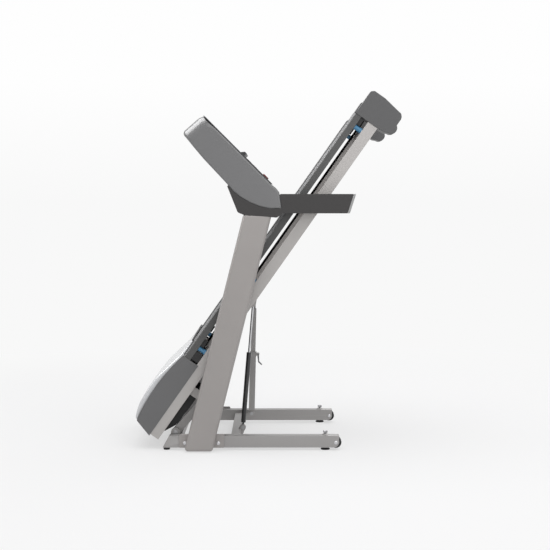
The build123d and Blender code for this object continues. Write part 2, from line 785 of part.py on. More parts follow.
def lift_frame():
    """Two arms with knuckles on the pivot shaft, joined by a tube that carries the lug the
    incline screw pulls.  Its stub pins carry the deck."""
    frame = pin(*lift_pin, (-arm_inner - 1, arm_inner + 1), lift_tube_radius)
    for side in SIDES.values():
        arm = link(pivot, lift_pin, lift_arm_depth / 2)
        frame += plate(arm, mirrored((arm_inner, arm_outer), side))
        frame += pin(*lift_pin, mirrored((arm_inner, tube_inner), side), lift_pin_radius)
    lug = link(deck_point(lift_v, lift_u), deck_point(*lug_tip), screw_eye_radius)
    for side in (-1, 1):
        near = incline_motor_y + side * lug_gap / 2
        frame += plate(lug, (near, near + side * 8))
    return frame - pin(*pivot, (-ear_outer, ear_outer), pivot_shaft_radius + RUNNING)


def along_strut(low, states, middle):
    """Places a piece drawn along X from a strut's lower pivot."""
    return Pos(low[0], middle, low[1]) * Rot(0, -states[0][1], 0)


def strut_pin(low, middle, width):
    reach = width / 2 + SLIP + cheek_thickness
    shank = pin(*low, (middle - reach, middle + reach), strut_pin_radius)
    head = pin(*low, (middle - reach - 3, middle - reach), strut_pin_radius + 3)
    tail = pin(*low, (middle + reach, middle + reach + 3), strut_pin_radius + 2)
    return shank + head + tail


def eye(s, width, bore=0.0):
    """A strut's end eye, at a distance along it."""
    ring = pin(s, 0, (-width / 2, width / 2), strut_eye_radius)
    return ring - pin(s, 0, (-width, width), bore) if bore else ring


def gas_cylinder():
    body = rod((strut_eye_radius - 2, 0, 0), (24, 0, 0), 4.5)
    body += rod((22, 0, 0), (gas_body_length, 0, 0), gas_body_radius)
    body += eye(0, gas_eye_width)
    body -= pin(0, 0, (-gas_eye_width, gas_eye_width), strut_pin_radius + RUNNING)
    body -= rod((60, 0, 0), (gas_body_length + 1, 0, 0), gas_rod_radius + 2 * RUNNING)
    return along_strut(gas_low, gas_states, gas_y) * body


def gas_rod():
    length = gas_states[0][0]
    stroke = length - gas_states[1][0]
    start = 70 + stroke
    piece = rod((start, 0, 0), (length - 5, 0, 0), gas_rod_radius) + eye(length, gas_eye_width)
    return along_strut(gas_low, gas_states, gas_y) * piece


def lock_tube_outer():
    """Square outer tube of the folding lock, with its collar and the latch's hinge ears."""
    half = lock_tube / 2
    tube = block((14, lock_tube_length), (-half, half), (-half, half))
    tube += block((lock_tube_length - 22, lock_tube_length), (-half - 2, half + 2), (-half - 2, half + 2))
    tube += block((8, 16), (-lock_eye_width / 2, lock_eye_width / 2), (-8, 8)) + eye(0, lock_eye_width)
    for side in (-1, 1):
        tube += plate(link((lock_tube_length - 11, -half - 10), (lock_tube_length - 11, -half), 6),
                      (side * 9, side * (half + 2)))
    inside = lock_inner / 2 + SLIP
    tube -= block((20, lock_tube_length + 1), (-inside, inside), (-inside, inside))
    tube -= pin(0, 0, (-lock_eye_width, lock_eye_width), strut_pin_radius + RUNNING)
    tube -= pin(*latch_hinge, (-lock_tube, lock_tube), latch_pin_radius + RUNNING)
    return along_strut(lock_low, lock_states, lock_y) * tube


latch_pin_radius = 3
latch_hinge = (lock_tube_length - 11, -lock_tube / 2 - 10)


def latch_lever():
    """Foot pedal that frees the lock: a pressed plate on its hinge pin, with a flicked lip."""
    s, n = latch_hinge
    shape = outline((s + 6, n + 4), (s + 6, n - 4), (s - latch_drop + 14, n - 6), (s - latch_drop, n - 20),
                    (s - latch_drop - 4, n - 17), (s - latch_drop + 10, n - 1), (s - 6, n + 4))
    lever = plate(shape, (-8.5, 8.5))
    lever += pin(s, n, (-lock_tube / 2 - 2, lock_tube / 2 + 2), latch_pin_radius)
    return along_strut(lock_low, lock_states, lock_y) * lever


def lock_tube_inner():
    half = lock_inner / 2
    length = lock_states[0][0]
    stroke = length - lock_states[1][0]
    shoulder = length - lock_neck
    tube = block((25 + stroke, shoulder), (-half, half), (-half, half))
    inside = half - lock_inner_wall
    tube -= block((24 + stroke, shoulder - 6), (-inside, inside), (-inside, inside))
    tube += block((shoulder - 1, length), (-lock_eye_width / 2, lock_eye_width / 2), (-7, 7))
    tube += eye(length, lock_eye_width)
    return along_strut(lock_low, lock_states, lock_y) * tube


# ================================================================== deck (drawn flat: V, Y, U)
def deck_tube(side):
    y = mirrored((tube_inner, deck_half_width), side)
    tube = block((deck_tube_start, deck_tube_end), y, (0, deck_tube_height))
    w = deck_tube_wall
    inside = mirrored((tube_inner + w, deck_half_width - w), side)
    return tube - block((deck_tube_start + w, deck_tube_end + 1), inside, (w, deck_tube_height - w))


def strut_cheeks(middle, width):
    """Plates that hang from the deck's crossmember either side of a strut's upper eye."""
    v = cross_rail_vs[2]
    face = link((strut_top_v, strut_top_u), (v + 10, 12), cheek_radius)
    inner = width / 2 + SLIP
    plates = []
    for side in (-1, 1):
        span = (middle + side * inner, middle + side * (inner + cheek_thickness))
        plates.append(plate(face, span))
        bolt = (middle + side * (inner + cheek_thickness), middle + side * (inner + cheek_thickness + 4))
        plates.append(pin(strut_top_v, strut_top_u, bolt, 8))
    return plates


def deck_frame():
    """The deck's welded frame: two tubes, crossmembers, lift brackets, roller plates,
    strut cheeks and the plates of the motor bay."""
    frame = deck_tube(-1) + deck_tube(1)
    wall = deck_tube_wall
    for v in cross_rail_vs:
        bar = block((v, v + cross_rail_width), (-tube_inner, tube_inner), (0, cross_rail_height))
        bar -= block((v + wall, v + cross_rail_width - wall), (-tube_inner, tube_inner),
                     (wall, cross_rail_height - wall))
        frame += bar
    for side in SIDES.values():
        bracket = link((lift_v, lift_u), (lift_v, 18), lift_pin_radius + 9)
        bracket += outline((lift_v - 18, 0), (lift_v + 50, 0), (lift_v + 50, 34), (lift_v - 50, 34),
                           (lift_v - 50, 0))
        frame += plate(bracket, mirrored((ear_inner, tube_inner), side))
        for v in (front_roller_v, rear_roller_v):
            seat = outline((v - 16, deck_tube_height - 1), (v + 16, deck_tube_height - 1),
                           (v + 16, roller_u), (v - 16, roller_u)) + disc(v, roller_u, 16)
            frame += plate(seat, mirrored((tube_inner + 4, tube_inner + 4 + axle_plate_thickness), side))
    for piece in strut_cheeks(gas_y, gas_eye_width) + strut_cheeks(lock_y, lock_eye_width):
        frame += piece
    bay = (cross_rail_vs[0] + cross_rail_width - 1, cross_rail_vs[1] + 1)
    t = bay_plate_thickness
    frame += block(bay, (motor_left - 10, motor_right + 10), (0, t))
    frame += block(bay, (control_board_y - 6, ear_inner - 1), (0, t))
    for side in (-1, 1):
        ear = link((incline_motor_v, incline_motor_u), (cross_rail_vs[0] + 20, incline_motor_u), 13)
        frame += plate(ear, (incline_motor_y + side * 15, incline_motor_y + side * 21))
    frame -= pin(lift_v, lift_u, (-tube_inner - 1, tube_inner + 1), lift_pin_radius + RUNNING)
    for v in (front_roller_v, rear_roller_v):
        frame -= pin(v, roller_u, (-deck_half_width, deck_half_width), roller_axle_radius + RUNNING)
    frame -= pin(incline_motor_v, incline_motor_u, (incline_motor_y - 40, incline_motor_y + 40),
                 latch_pin_radius + 2 + RUNNING)
    return frame


def roller_axles():
    reach = tube_inner + 4 + axle_plate_thickness
    axles = []
    for v in (front_roller_v, rear_roller_v):
        axle = pin(v, roller_u, (-reach, reach), roller_axle_radius)
        axle += pin(v, roller_u, (reach, reach + 6), 12) + pin(v, roller_u, (-reach - 6, -reach), 12)
        axles.append(axle)
    return axles


def roller(v, pulley=False):
    body = pin(v, roller_u, (-roller_half_length, roller_half_length), roller_radius)
    if pulley:
        start = drive_belt_y - pulley_width / 2
        body += pin(v, roller_u, (start, start + pulley_width), roller_pulley_radius)
        body += pin(v, roller_u, (start, -roller_half_length + 1), 14)
        for rim in (start - 1.5, start + pulley_width):
            body += pin(v, roller_u, (rim, rim + 1.5), roller_pulley_radius + 1.2)
    return body - pin(v, roller_u, (-deck_half_width, deck_half_width), roller_axle_radius + RUNNING)


def running_board():
    return block((board_start, board_end), (-board_half_width, board_half_width), (board_low, board_top))


def running_belt():
    first, second = (front_roller_v, roller_u), (rear_roller_v, roller_u)
    inner = roller_radius + SLIP
    outer = link(first, second, inner + belt_thickness)
    return plate(outer - link(first, second, inner), (-belt_half_width, belt_half_width))


def foot_rail(side):
    """Extruded strip that the runner stands on, capping the board's edge."""
    w = foot_rail_wall
    outer, inner = deck_half_width, foot_rail_inner
    shoulder = outer - foot_rail_shoulder
    section = [(outer, board_low), (outer, rail_crown), (shoulder, rail_crest), (inner, rail_crest),
               (inner, board_top), (inner + w, board_top), (inner + w, rail_crest - w),
               (shoulder - 1, rail_crest - w), (outer - w, rail_crown - 1), (outer - w, board_low)]
    face = Plane.YZ * outline(*[(side * y, u) for y, u in section])
    return Pos(foot_rail_start, 0, 0) * extrude(face, amount=foot_rail_end - foot_rail_start, dir=(1, 0, 0))


def deck_cushions():
    """Rubber pads between the frame and the board, with the stop blocks beside the end ones
    and the guards over the front roller's axle ends."""
    pads = []
    under = (board_low - stop_block_height, board_low)
    for side in SIDES.values():
        for v in cushion_vs:
            pad = Cylinder(cushion_radius, cushion_height, align=(Align.CENTER, Align.CENTER, Align.MIN))
            pads.append(Pos(v, side * tube_middle, deck_tube_height) * pad)
        for v in (cushion_vs[0] + cushion_radius, cushion_vs[-1] + cushion_radius):
            across = (side * (tube_middle - block_half_width), side * (tube_middle + block_half_width))
            pads.append(block((v + 1, v + 1 + stop_block_length), across, under))
        v = front_roller_v - guard_length / 3
        across = (side * (tube_inner + guard_inner_gap), side * (deck_half_width - 1))
        pads.append(block((v, v + guard_length), across, under))
    return pads


def cap_outline(inset=0.0):
    v, end = foot_rail_end, foot_rail_end + rear_cap_length
    top = rail_crown + 0.5
    points = [(v, rail_crest), (v + 18, top), (end - 11, top), (end, top - 13), (end, 45), (end - 6, 7),
              (end - 14, -47), (end - 24, -56), (end - 34, -60), (heel_v, -60), (v + 9, heel_u),
              (v + 2, -33), (v, 4)]
    if inset:
        shape = offset(outline(*points), amount=-inset, kind=Kind.INTERSECTION)
    else:
        shape = rounded(points, rear_cap_corner)
    return shape + Pos(heel_v, heel_u) * Circle(rear_heel_radius - inset)


def heel_pad():
    """Strip of rubber round the underside of a heel, as a flat outline."""
    strip = Circle(rear_heel_radius) - Circle(rear_heel_radius - rear_pad_thickness)
    half = rear_heel_radius / 2
    return Pos(heel_v, heel_u) * (strip & Pos(0, -half * 2) * Rectangle(half * 4, half * 2))


def rear_caps():
    """Hollow mouldings over the deck's rear corners, open to the front for tube and rail."""
    caps = []
    for side in SIDES.values():
        y = mirrored((rear_cap_inner, deck_half_width + 4), side)
        room = mirrored((rear_cap_inner + rear_cap_wall, deck_half_width + 4 - rear_cap_wall), side)
        cap = plate(cap_outline(), y) - plate(cap_outline(rear_cap_wall), room)
        cap -= block((foot_rail_end - 5, foot_rail_end + 30), mirrored((tube_inner - 1, deck_half_width + SEAT), side),
                     (-SEAT, deck_tube_height + 5))
        cap -= pin(rear_roller_v, roller_u, (y[0], room[0]), roller_axle_radius + SLIP)
        caps.append(cap - plate(heel_pad(), mirrored(pad_span, side)))
    return caps


def rear_feet():
    """Rubber strips round the rear caps' heels, which meet the floor when the deck is down."""
    return [plate(heel_pad(), mirrored(pad_span, side)) for side in SIDES.values()]


# ================================================================== motor bay (drawn flat)
def drive_motor():
    y = (motor_left, motor_right)
    can = pin(motor_v, motor_u, y, motor_radius)
    can += block((motor_v - 34, motor_v + 34), (motor_left + 20, motor_right - 20),
                 (bay_plate_thickness, motor_u - motor_radius + 10))
    return can - pin(motor_v, motor_u, (motor_left - 1, motor_right + 1), motor_shaft_radius + RUNNING)


def motor_rotor():
    """Motor shaft with its flywheel and the small ribbed pulley."""
    start = drive_belt_y - pulley_width / 2
    shaft = pin(motor_v, motor_u, (start - 2, motor_right + 8), motor_shaft_radius)
    shaft += pin(motor_v, motor_u, (motor_left - 22, motor_left - 6), motor_radius - 8)
    shaft += pin(motor_v, motor_u, (start, start + pulley_width), motor_pulley_radius)
    for rim in (start - 1.5, start + pulley_width):
        shaft += pin(motor_v, motor_u, (rim, rim + 1.5), motor_pulley_radius + 1.2)
    return shaft


def drive_belt():
    first, second = (motor_v, motor_u), (front_roller_v, roller_u)
    slack = SLIP
    inner = loop(first, motor_pulley_radius + slack, second, roller_pulley_radius + slack)
    t = drive_belt_thickness + slack
    outer = loop(first, motor_pulley_radius + t, second, roller_pulley_radius + t)
    half = pulley_width / 2 - 1
    return plate(outer - inner, (drive_belt_y - half, drive_belt_y + half))


SCREW = Pos(incline_motor_v, incline_motor_y, incline_motor_u) * Rot(0, -screw_bearing, 0)
screw_barrel_end = screw_drawn - screw_eye_radius - 3


def incline_motor():
    """Gearbox with its barrel along the screw and its motor to one side, hung on a pin."""
    body = block((16, 62), (-22, 22), (-22, 20)) + block((-2, 18), (-12, 12), (-9, 9))
    body += pin(0, 0, (-12, 12), 11)
    body += rod((60, 0, 0), (screw_barrel_end, 0, 0), screw_tube_radius + 4)
    body += pin(39, 2, (20, 20 + incline_side_motor), 20)
    body -= rod((64, 0, 0), (screw_barrel_end + 1, 0, 0), screw_tube_radius + SLIP)
    body += pin(0, 0, (-23, 23), latch_pin_radius + 2)
    return SCREW * body


def incline_tube():
    """Screwed tube of the incline motor, with the eye that meets the lift frame's lug."""
    start = 66 + screw_length - screw_drawn
    tube = rod((start, 0, 0), (screw_length - 6, 0, 0), screw_tube_radius)
    tube += pin(screw_length, 0, (SLIP - lug_gap / 2, lug_gap / 2 - SLIP), screw_eye_radius)
    return SCREW * tube


def control_board():
    low = bay_plate_thickness
    start, end = control_board_start, control_board_start + control_board_length
    inner, outer = control_board_y, control_board_y + control_board_width
    board = block((start, end), (inner, outer), (low + 8, low + 10))
    sink = block((start + 30, start + 110), (inner + 10, outer - 12), (low + 10, low + 14))
    for fin in range(8):
        v = start + 32 + 10 * fin
        sink += block((v, v + 3), (inner + 10, outer - 12), (low + 14, low + 40))
    board += sink + block((end - 75, end - 25), (inner + 10, outer - 22), (low + 10, low + 34))
    for v in (start + 6, end - 6):
        for y in (inner + 6, outer - 6):
            board += rod((v, y, low), (v, y, low + 9), 4)
    return board


def belly_pan():
    """Tray under the motor bay, hung from the frame's front crossmember."""
    half = arm_inner - 14
    lug_reach = lug_gap / 2 + 8 + lug_notch_gap
    keel = [(20, -5), (68, -29), (176, -35), (pan_end, -35)]
    floor_line = outline(*keel, (pan_end, -32), (176, -32), (69, -26), (23, -3), (23, 0), (20, 0))
    wall = outline(*keel, (pan_end, -4), (20, -4))
    tray = plate(floor_line, (-half, half))
    for side in SIDES.values():
        tray += plate(wall, mirrored((half - 3, half), side))
    notch_sides = (incline_motor_y - lug_reach, incline_motor_y + lug_reach)
    tray -= block((pan_end - lug_notch, pan_end + 1), notch_sides, (-36, -31))
    return tray + block((20, 45), (-half, half), (-3, 0))


hood_low = deck_tube_height - hood_side_overlap
skirt_end = foot_rail_start - SEAT
hood_side = [(-19, hood_low), (4, 121), (15, 126), (30, 128.5), (60, 132.5), (90, 135.5), (135, 138), (180, 139),
             (210, 138), (240, 136), (270, 132.5), (300, 128), (330, 122.5), (skirt_end, 118.5), (skirt_end, hood_low)]
hood_top = [(2, hood_cover_low), (8, 130), (15, 137.5), (30, 144), (45, 150), (60, 154.5), (75, 158), (100, 161),
            (130, 163), (170, 162.5), (200, 160.5), (233, 155.5), (267, 147.5), (300, 140.5), (334, 132.5),
            (375, 129), (hood_end, 128)]
inlet_y = -236
switch_y = -182
port_u = 76
switch_width = 19
switch_pin_radius = 2
switch_hinge = (5, port_u)


def hood_base():
    """Dark skirt of the motor hood: two side walls and a raked front with a bay for the mains ports."""
    half = deck_half_width + 2
    inside = half - 6
    skirt = plate(outline(*hood_side), (-half, half))
    (foot_v, foot_u), (nose_v, nose_u) = hood_side[:2]
    rake = (nose_v - foot_v) / (nose_u - foot_u)
    above = foot_v + rake * (hood_crown - foot_u)
    room = outline((foot_v + hood_wall, foot_u - 1), (above + hood_wall, hood_crown), (skirt_end, hood_crown),
                   (skirt_end, foot_u - 1))
    bay = (inlet_y - 26, switch_y + 18)
    skirt -= plate(room, (-inside, bay[0])) + plate(room, (bay[1], inside))
    skirt -= block((2, skirt_end), bay, (foot_u - 1, hood_crown))
    skirt -= block((foot_v, skirt_end), (-inside, inside), (hood_cover_low, hood_crown))
    skirt -= block((deck_tube_start - SEAT, skirt_end), (-deck_half_width - SEAT, deck_half_width + SEAT),
                   (foot_u - 1, deck_tube_height))
    skirt -= block((foot_v - 1, -3), (inlet_y - 22, switch_y + 14), (port_u - 20, port_u + 20))
    skirt -= block((-10, 10), (inlet_y - 14.5, inlet_y + 14.5), (port_u - 11, port_u + 11))
    skirt -= block((-10, 10), (switch_y - 10.5, switch_y + 10.5), (port_u - 15.5, port_u + 15.5))
    for side in (-1, 1):
        near = switch_y + side * (switch_width / 2 + SLIP)
        skirt += block((0, 14), (near, near + side * 3), (port_u - 16, port_u + 16))
    return skirt - pin(*switch_hinge, (switch_y - 20, switch_y + 20), switch_pin_radius + RUNNING)


def hood_cover():
    """Silver top of the hood, crowned along and across, that runs on over the foot rails' ends."""
    low = rail_crest + SEAT
    front = hood_top[0][0]
    profile = outline(*hood_top, (hood_end, low), (skirt_end, low), (skirt_end, hood_cover_low))
    t = hood_wall
    inner = outline(*[(v + (t if v < 60 else 0), u - t) for v, u in hood_top[:-1]],
                    (hood_end - t, hood_top[-1][1] - t), (hood_end - t, 60), (front + t, 60))
    cover = plate(profile, (-hood_cover_half, hood_cover_half))
    rise = hood_crown - hood_side_crown
    radius = (hood_cover_half ** 2 + rise ** 2) / (2 * rise)
    barrel = rod((-50, 0, hood_crown - radius), (600, 0, hood_crown - radius), radius)
    room = plate(inner, (-hood_cover_half + t, hood_cover_half - t))
    inner_barrel = rod((-50, 0, hood_crown - radius), (600, 0, hood_crown - radius), radius - t)
    return (cover & barrel) - (room & inner_barrel)


def hood_rear_lip():
    """Black end strip behind the cover, over the front of the belt, with its flange between the rails."""
    low = rail_crest + SEAT
    start = hood_end + SEAT
    lip = block((start, start + hood_lip_thickness), (-hood_cover_half, hood_cover_half), (low, hood_lip_top))
    half = foot_rail_inner - SEAT
    return lip + block((start, start + 4), (-half, half), (low - 13, low + 1))


def power_inlet():
    """Three-pole appliance inlet: a flanged block with its pins in a well."""
    face = -3
    body = block((face, 24), (inlet_y - 14.2, inlet_y + 14.2), (port_u - 10.7, port_u + 10.7))
    body += block((face - 2.5, face), (inlet_y - 19, inlet_y + 19), (port_u - 14, port_u + 14))
    body -= block((face - 4, 14), (inlet_y - 12, inlet_y + 12), (port_u - 8.5, port_u + 8.5))
    for y, u in ((inlet_y, port_u + 3.5), (inlet_y - 7, port_u - 2.5), (inlet_y + 7, port_u - 2.5)):
        body += block((face + 3, 15), (y - 1, y + 1), (u - 2.5, u + 2.5))
    return body


def power_switch():
    """Rocker, pivoted across its middle behind the hood's front wall."""
    rocker = outline((-6, port_u + 12.5), (-2.5, port_u), (-3.5, port_u - 12.5), (9, port_u - 9), (9, port_u + 9))
    reach = switch_width / 2 + 2.5
    body = plate(rocker, (switch_y - switch_width / 2, switch_y + switch_width / 2))
    return body + pin(*switch_hinge, (switch_y - reach, switch_y + reach), switch_pin_radius)


# ================================================================== all the parts
def deck_parts():
    pieces = {
        "deck_frame": deck_frame(),
        "roller_axles": roller_axles(),
        "front_roller": roller(front_roller_v, pulley=True),
        "rear_roller": roller(rear_roller_v),
        "running_board": running_board(),
        "running_belt": running_belt(),
        "deck_cushions": deck_cushions(),
        "rear_caps": rear_caps(),
        "rear_feet": rear_feet(),
        "drive_motor": drive_motor(),
        "motor_rotor": motor_rotor(),
        "drive_belt": drive_belt(),
        "incline_motor": incline_motor(),
        "incline_tube": incline_tube(),
        "control_board": control_board(),
        "belly_pan": belly_pan(),
        "hood_base": hood_base(),
        "hood_cover": hood_cover(),
        "hood_rear_lip": hood_rear_lip(),
        "power_inlet": power_inlet(),
        "power_switch": power_switch(),
    }
    for name, side in SIDES.items():
        pieces["foot_rail_" + name] = foot_rail(side)
    placed = {}
    for name, piece in pieces.items():
        solids = piece if isinstance(piece, list) else [piece]
        placed[name] = [DECK * solid for solid in solids]
    return placed


def standing_parts():
    pieces = {
        "front_crossmember": front_crossmember(),
        "mid_crossmember": mid_crossmember(),
        "front_feet": front_feet(),
        "base_bolts": base_bolts(),
        "console_frame": console_frame(),
        "console_shell": console_shell(),
        "console_face": console_face(),
        "display_lens": display_lens(),
        "display_board": display_board(),
        "safety_key": safety_key(),
        "fan_rotor": fan_rotor(),
        "arm_end_caps": arm_end_caps(),
        "pivot_shaft": pivot_shaft(),
        "lift_frame": lift_frame(),
        "gas_pin": strut_pin(gas_low, gas_y, gas_eye_width),
        "gas_cylinder": gas_cylinder(),
        "gas_rod": gas_rod(),
        "lock_pin": strut_pin(lock_low, lock_y, lock_eye_width),
        "lock_tube_outer": lock_tube_outer(),
        "lock_tube_inner": lock_tube_inner(),
        "latch_lever": latch_lever(),
    }
    for name in buttons:
        pieces[name] = button(name)
    for name, side in SIDES.items():
        pieces["base_rail_" + name] = base_rail(side)
        pieces["leveller_" + name] = leveller(side)
        pieces["transport_wheel_" + name] = transport_wheel(side)
        pieces["mast_" + name] = mast(side)
        pieces["handrail_" + name] = handrail(side)
    return {name: piece if isinstance(piece, list) else [piece] for name, piece in pieces.items()}


def build_parts():
    """Every node as one compound, with the whole machine centred on X = 0."""
    groups = {**standing_parts(), **deck_parts()}
    compounds = {name: Compound(children=solid_list(pieces)) for name, pieces in groups.items()}
    boxes = [shape.bounding_box() for shape in compounds.values()]
    middle = (min(box.min.X for box in boxes) + max(box.max.X for box in boxes)) / 2
    return {name: Pos(-middle, 0, 0) * shape for name, shape in compounds.items()}, middle


def solid_list(pieces):
    return [solid for piece in pieces for solid in piece.solids()]


os.makedirs("parts", exist_ok=True)
PARTS, CENTRE = build_parts()
for node, shape in PARTS.items():
    export_step(shape, f"parts/{node}.step")
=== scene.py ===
import bmesh
import bpy
import json
from math import cos, pi, radians, sin, sqrt, tan
from mathutils import Matrix, Vector

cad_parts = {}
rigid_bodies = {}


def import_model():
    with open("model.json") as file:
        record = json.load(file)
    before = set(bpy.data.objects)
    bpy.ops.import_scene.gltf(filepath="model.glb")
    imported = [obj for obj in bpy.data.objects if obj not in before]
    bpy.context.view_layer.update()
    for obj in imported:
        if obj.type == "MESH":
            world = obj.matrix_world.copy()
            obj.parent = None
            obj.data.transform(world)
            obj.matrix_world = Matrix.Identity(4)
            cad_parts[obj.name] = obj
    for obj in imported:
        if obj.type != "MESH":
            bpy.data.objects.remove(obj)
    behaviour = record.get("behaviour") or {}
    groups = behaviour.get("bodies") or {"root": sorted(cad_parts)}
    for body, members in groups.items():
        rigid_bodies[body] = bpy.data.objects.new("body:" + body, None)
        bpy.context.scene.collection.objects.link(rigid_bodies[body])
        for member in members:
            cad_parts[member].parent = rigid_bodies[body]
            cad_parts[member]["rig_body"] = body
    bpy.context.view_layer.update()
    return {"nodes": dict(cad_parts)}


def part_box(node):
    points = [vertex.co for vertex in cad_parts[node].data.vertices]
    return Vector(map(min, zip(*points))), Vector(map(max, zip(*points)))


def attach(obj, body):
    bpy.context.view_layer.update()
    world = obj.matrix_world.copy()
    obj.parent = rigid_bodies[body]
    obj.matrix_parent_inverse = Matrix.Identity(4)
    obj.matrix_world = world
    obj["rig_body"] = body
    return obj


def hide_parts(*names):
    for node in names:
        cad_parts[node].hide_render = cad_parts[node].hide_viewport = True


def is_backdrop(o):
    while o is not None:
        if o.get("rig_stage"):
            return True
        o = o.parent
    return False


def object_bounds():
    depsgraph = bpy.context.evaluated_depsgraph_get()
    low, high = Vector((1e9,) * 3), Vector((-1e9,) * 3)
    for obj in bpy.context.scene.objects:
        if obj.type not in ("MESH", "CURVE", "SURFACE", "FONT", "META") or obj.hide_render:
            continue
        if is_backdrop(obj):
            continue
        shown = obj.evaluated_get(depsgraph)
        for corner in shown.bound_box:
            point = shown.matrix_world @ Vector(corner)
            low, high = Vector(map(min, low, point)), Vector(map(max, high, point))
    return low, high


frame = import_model()
nodes = frame["nodes"]


# Studio: a pale floor that keeps the machine's contact shadow and fades into a white surround,
# soft lamps above, in front and behind, one that only gives the console's nose its gleam, and a
# long-lens camera level with the handrails.
def tint(red, green, blue):
    """A paint colour given from 0 to 255 as a screen shows it, in the shader's values."""
    return tuple(((part / 255 + 0.055) / 1.055) ** 2.4 for part in (red, green, blue)) + (1.0,)


surround_low = tint(248, 248, 248)
surround_high = tint(254, 254, 254)
floor_colour = tint(222, 222, 223)
floor_fade_start = 1.0
floor_fade_end = 3.6
floor_glow = 0.6
ambient_low = 0.26
ambient_high = 0.7

bpy.context.scene.view_settings.view_transform = "Standard"
surround = bpy.data.worlds.new("surround")
bpy.context.scene.world = surround
surround.use_nodes = True
tree = surround.node_tree
tree.nodes.clear()
out = tree.nodes.new("ShaderNodeOutputWorld")
seen = tree.nodes.new("ShaderNodeBackground")
lit = tree.nodes.new("ShaderNodeBackground")
lit.inputs["Color"].default_value = (1.0, 1.0, 1.0, 1.0)
height = tree.nodes.new("ShaderNodeMapRange")
height.inputs["From Min"].default_value = -0.1
height.inputs["From Max"].default_value = 0.9
height.inputs["To Min"].default_value = ambient_low
height.inputs["To Max"].default_value = ambient_high
mix = tree.nodes.new("ShaderNodeMixShader")
path = tree.nodes.new("ShaderNodeLightPath")
sky = tree.nodes.new("ShaderNodeTexCoord")
split = tree.nodes.new("ShaderNodeSeparateXYZ")
ramp = tree.nodes.new("ShaderNodeValToRGB")
ramp.color_ramp.elements[0].position = 0.0
ramp.color_ramp.elements[0].color = surround_low
ramp.color_ramp.elements[1].position = 0.09
ramp.color_ramp.elements[1].color = surround_high
either = tree.nodes.new("ShaderNodeMath")
either.operation = "MAXIMUM"
glossy = tree.nodes.new("ShaderNodeMath")
glossy.operation = "MAXIMUM"
tree.links.new(sky.outputs["Generated"], split.inputs[0])
tree.links.new(split.outputs["Z"], ramp.inputs["Fac"])
tree.links.new(split.outputs["Z"], height.inputs["Value"])
tree.links.new(height.outputs["Result"], lit.inputs["Strength"])
tree.links.new(ramp.outputs["Color"], seen.inputs["Color"])
tree.links.new(path.outputs["Is Glossy Ray"], glossy.inputs[0])
tree.links.new(path.outputs["Is Transmission Ray"], glossy.inputs[1])
tree.links.new(path.outputs["Is Camera Ray"], either.inputs[0])
tree.links.new(glossy.outputs[0], either.inputs[1])
tree.links.new(either.outputs[0], mix.inputs["Fac"])
tree.links.new(lit.outputs[0], mix.inputs[1])
tree.links.new(seen.outputs[0], mix.inputs[2])
tree.links.new(mix.outputs[0], out.inputs["Surface"])

floor_paint = bpy.data.materials.new("studio_floor")
floor_paint.use_nodes = True
tree = floor_paint.node_tree
tree.nodes.clear()
out = tree.nodes.new("ShaderNodeOutputMaterial")
diffuse = tree.nodes.new("ShaderNodeBsdfDiffuse")
diffuse.inputs["Color"].default_value = floor_colour
far = tree.nodes.new("ShaderNodeEmission")
far.inputs["Color"].default_value = surround_low
fade = tree.nodes.new("ShaderNodeMapRange")
fade.interpolation_type = "SMOOTHSTEP"
fade.inputs["From Min"].default_value = floor_fade_start
fade.inputs["From Max"].default_value = floor_fade_end
fade.inputs["To Min"].default_value = floor_glow
where = tree.nodes.new("ShaderNodeTexCoord")
length = tree.nodes.new("ShaderNodeVectorMath")
length.operation = "LENGTH"
mix = tree.nodes.new("ShaderNodeMixShader")
tree.links.new(where.outputs["Object"], length.inputs[0])
tree.links.new(length.outputs["Value"], fade.inputs["Value"])
tree.links.new(fade.outputs["Result"], mix.inputs["Fac"])
tree.links.new(diffuse.outputs[0], mix.inputs[1])
tree.links.new(far.outputs[0], mix.inputs[2])
tree.links.new(mix.outputs[0], out.inputs["Surface"])
shape = bmesh.new()
bmesh.ops.create_circle(shape, cap_ends=True, segments=96, radius=40.0)
mesh = bpy.data.meshes.new("floor")
shape.to_mesh(mesh)
shape.free()
mesh.materials.append(floor_paint)
floor = bpy.data.objects.new("floor", mesh)
bpy.context.scene.collection.objects.link(floor)
floor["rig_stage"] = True


def lamp(name, place, aim, size, power):
    """A square soft box that looks from its place at a point."""
    data = bpy.data.lights.new(name, "AREA")
    data.shape = "SQUARE"
    data.size = size
    data.energy = power
    soft_box = bpy.data.objects.new(name, data)
    soft_box.location = place
    soft_box.rotation_euler = (Vector(aim) - Vector(place)).to_track_quat("-Z", "Y").to_euler()
    soft_box.visible_camera = False
    bpy.context.scene.collection.objects.link(soft_box)
    return soft_box


lamp("overhead_lamp", (0.1, -0.5, 4.8), (0.1, 0.0, 0.6), 5.5, 190)
lamp("front_lamp", (1.8, -5.2, 2.8), (0.0, 0.0, 0.8), 4.0, 70)
nose_lamp = lamp("nose_lamp", (-3.1, -0.7, 4.2), (-0.3, -0.4, 1.35), 3.4, 320)
nose_lamp.visible_diffuse = False
lamp("rear_lamp", (1.8, 3.8, 3.2), (0.0, 0.0, 0.9), 3.0, 45)

rail_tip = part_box("base_rail_left")[0].x
view_ahead = 0.479
view_distance = 5.858
view_height = 1.052
view_dip = radians(3.17)
lens = bpy.data.cameras.new("long_lens")
lens.lens = 85
lens.sensor_width = 36
camera = bpy.data.objects.new("long_lens", lens)
camera.location = (rail_tip + view_ahead, -view_distance, view_height)
camera.rotation_euler = (radians(90) - view_dip, 0.0, 0.0)
bpy.context.scene.collection.objects.link(camera)
bpy.context.scene.camera = camera


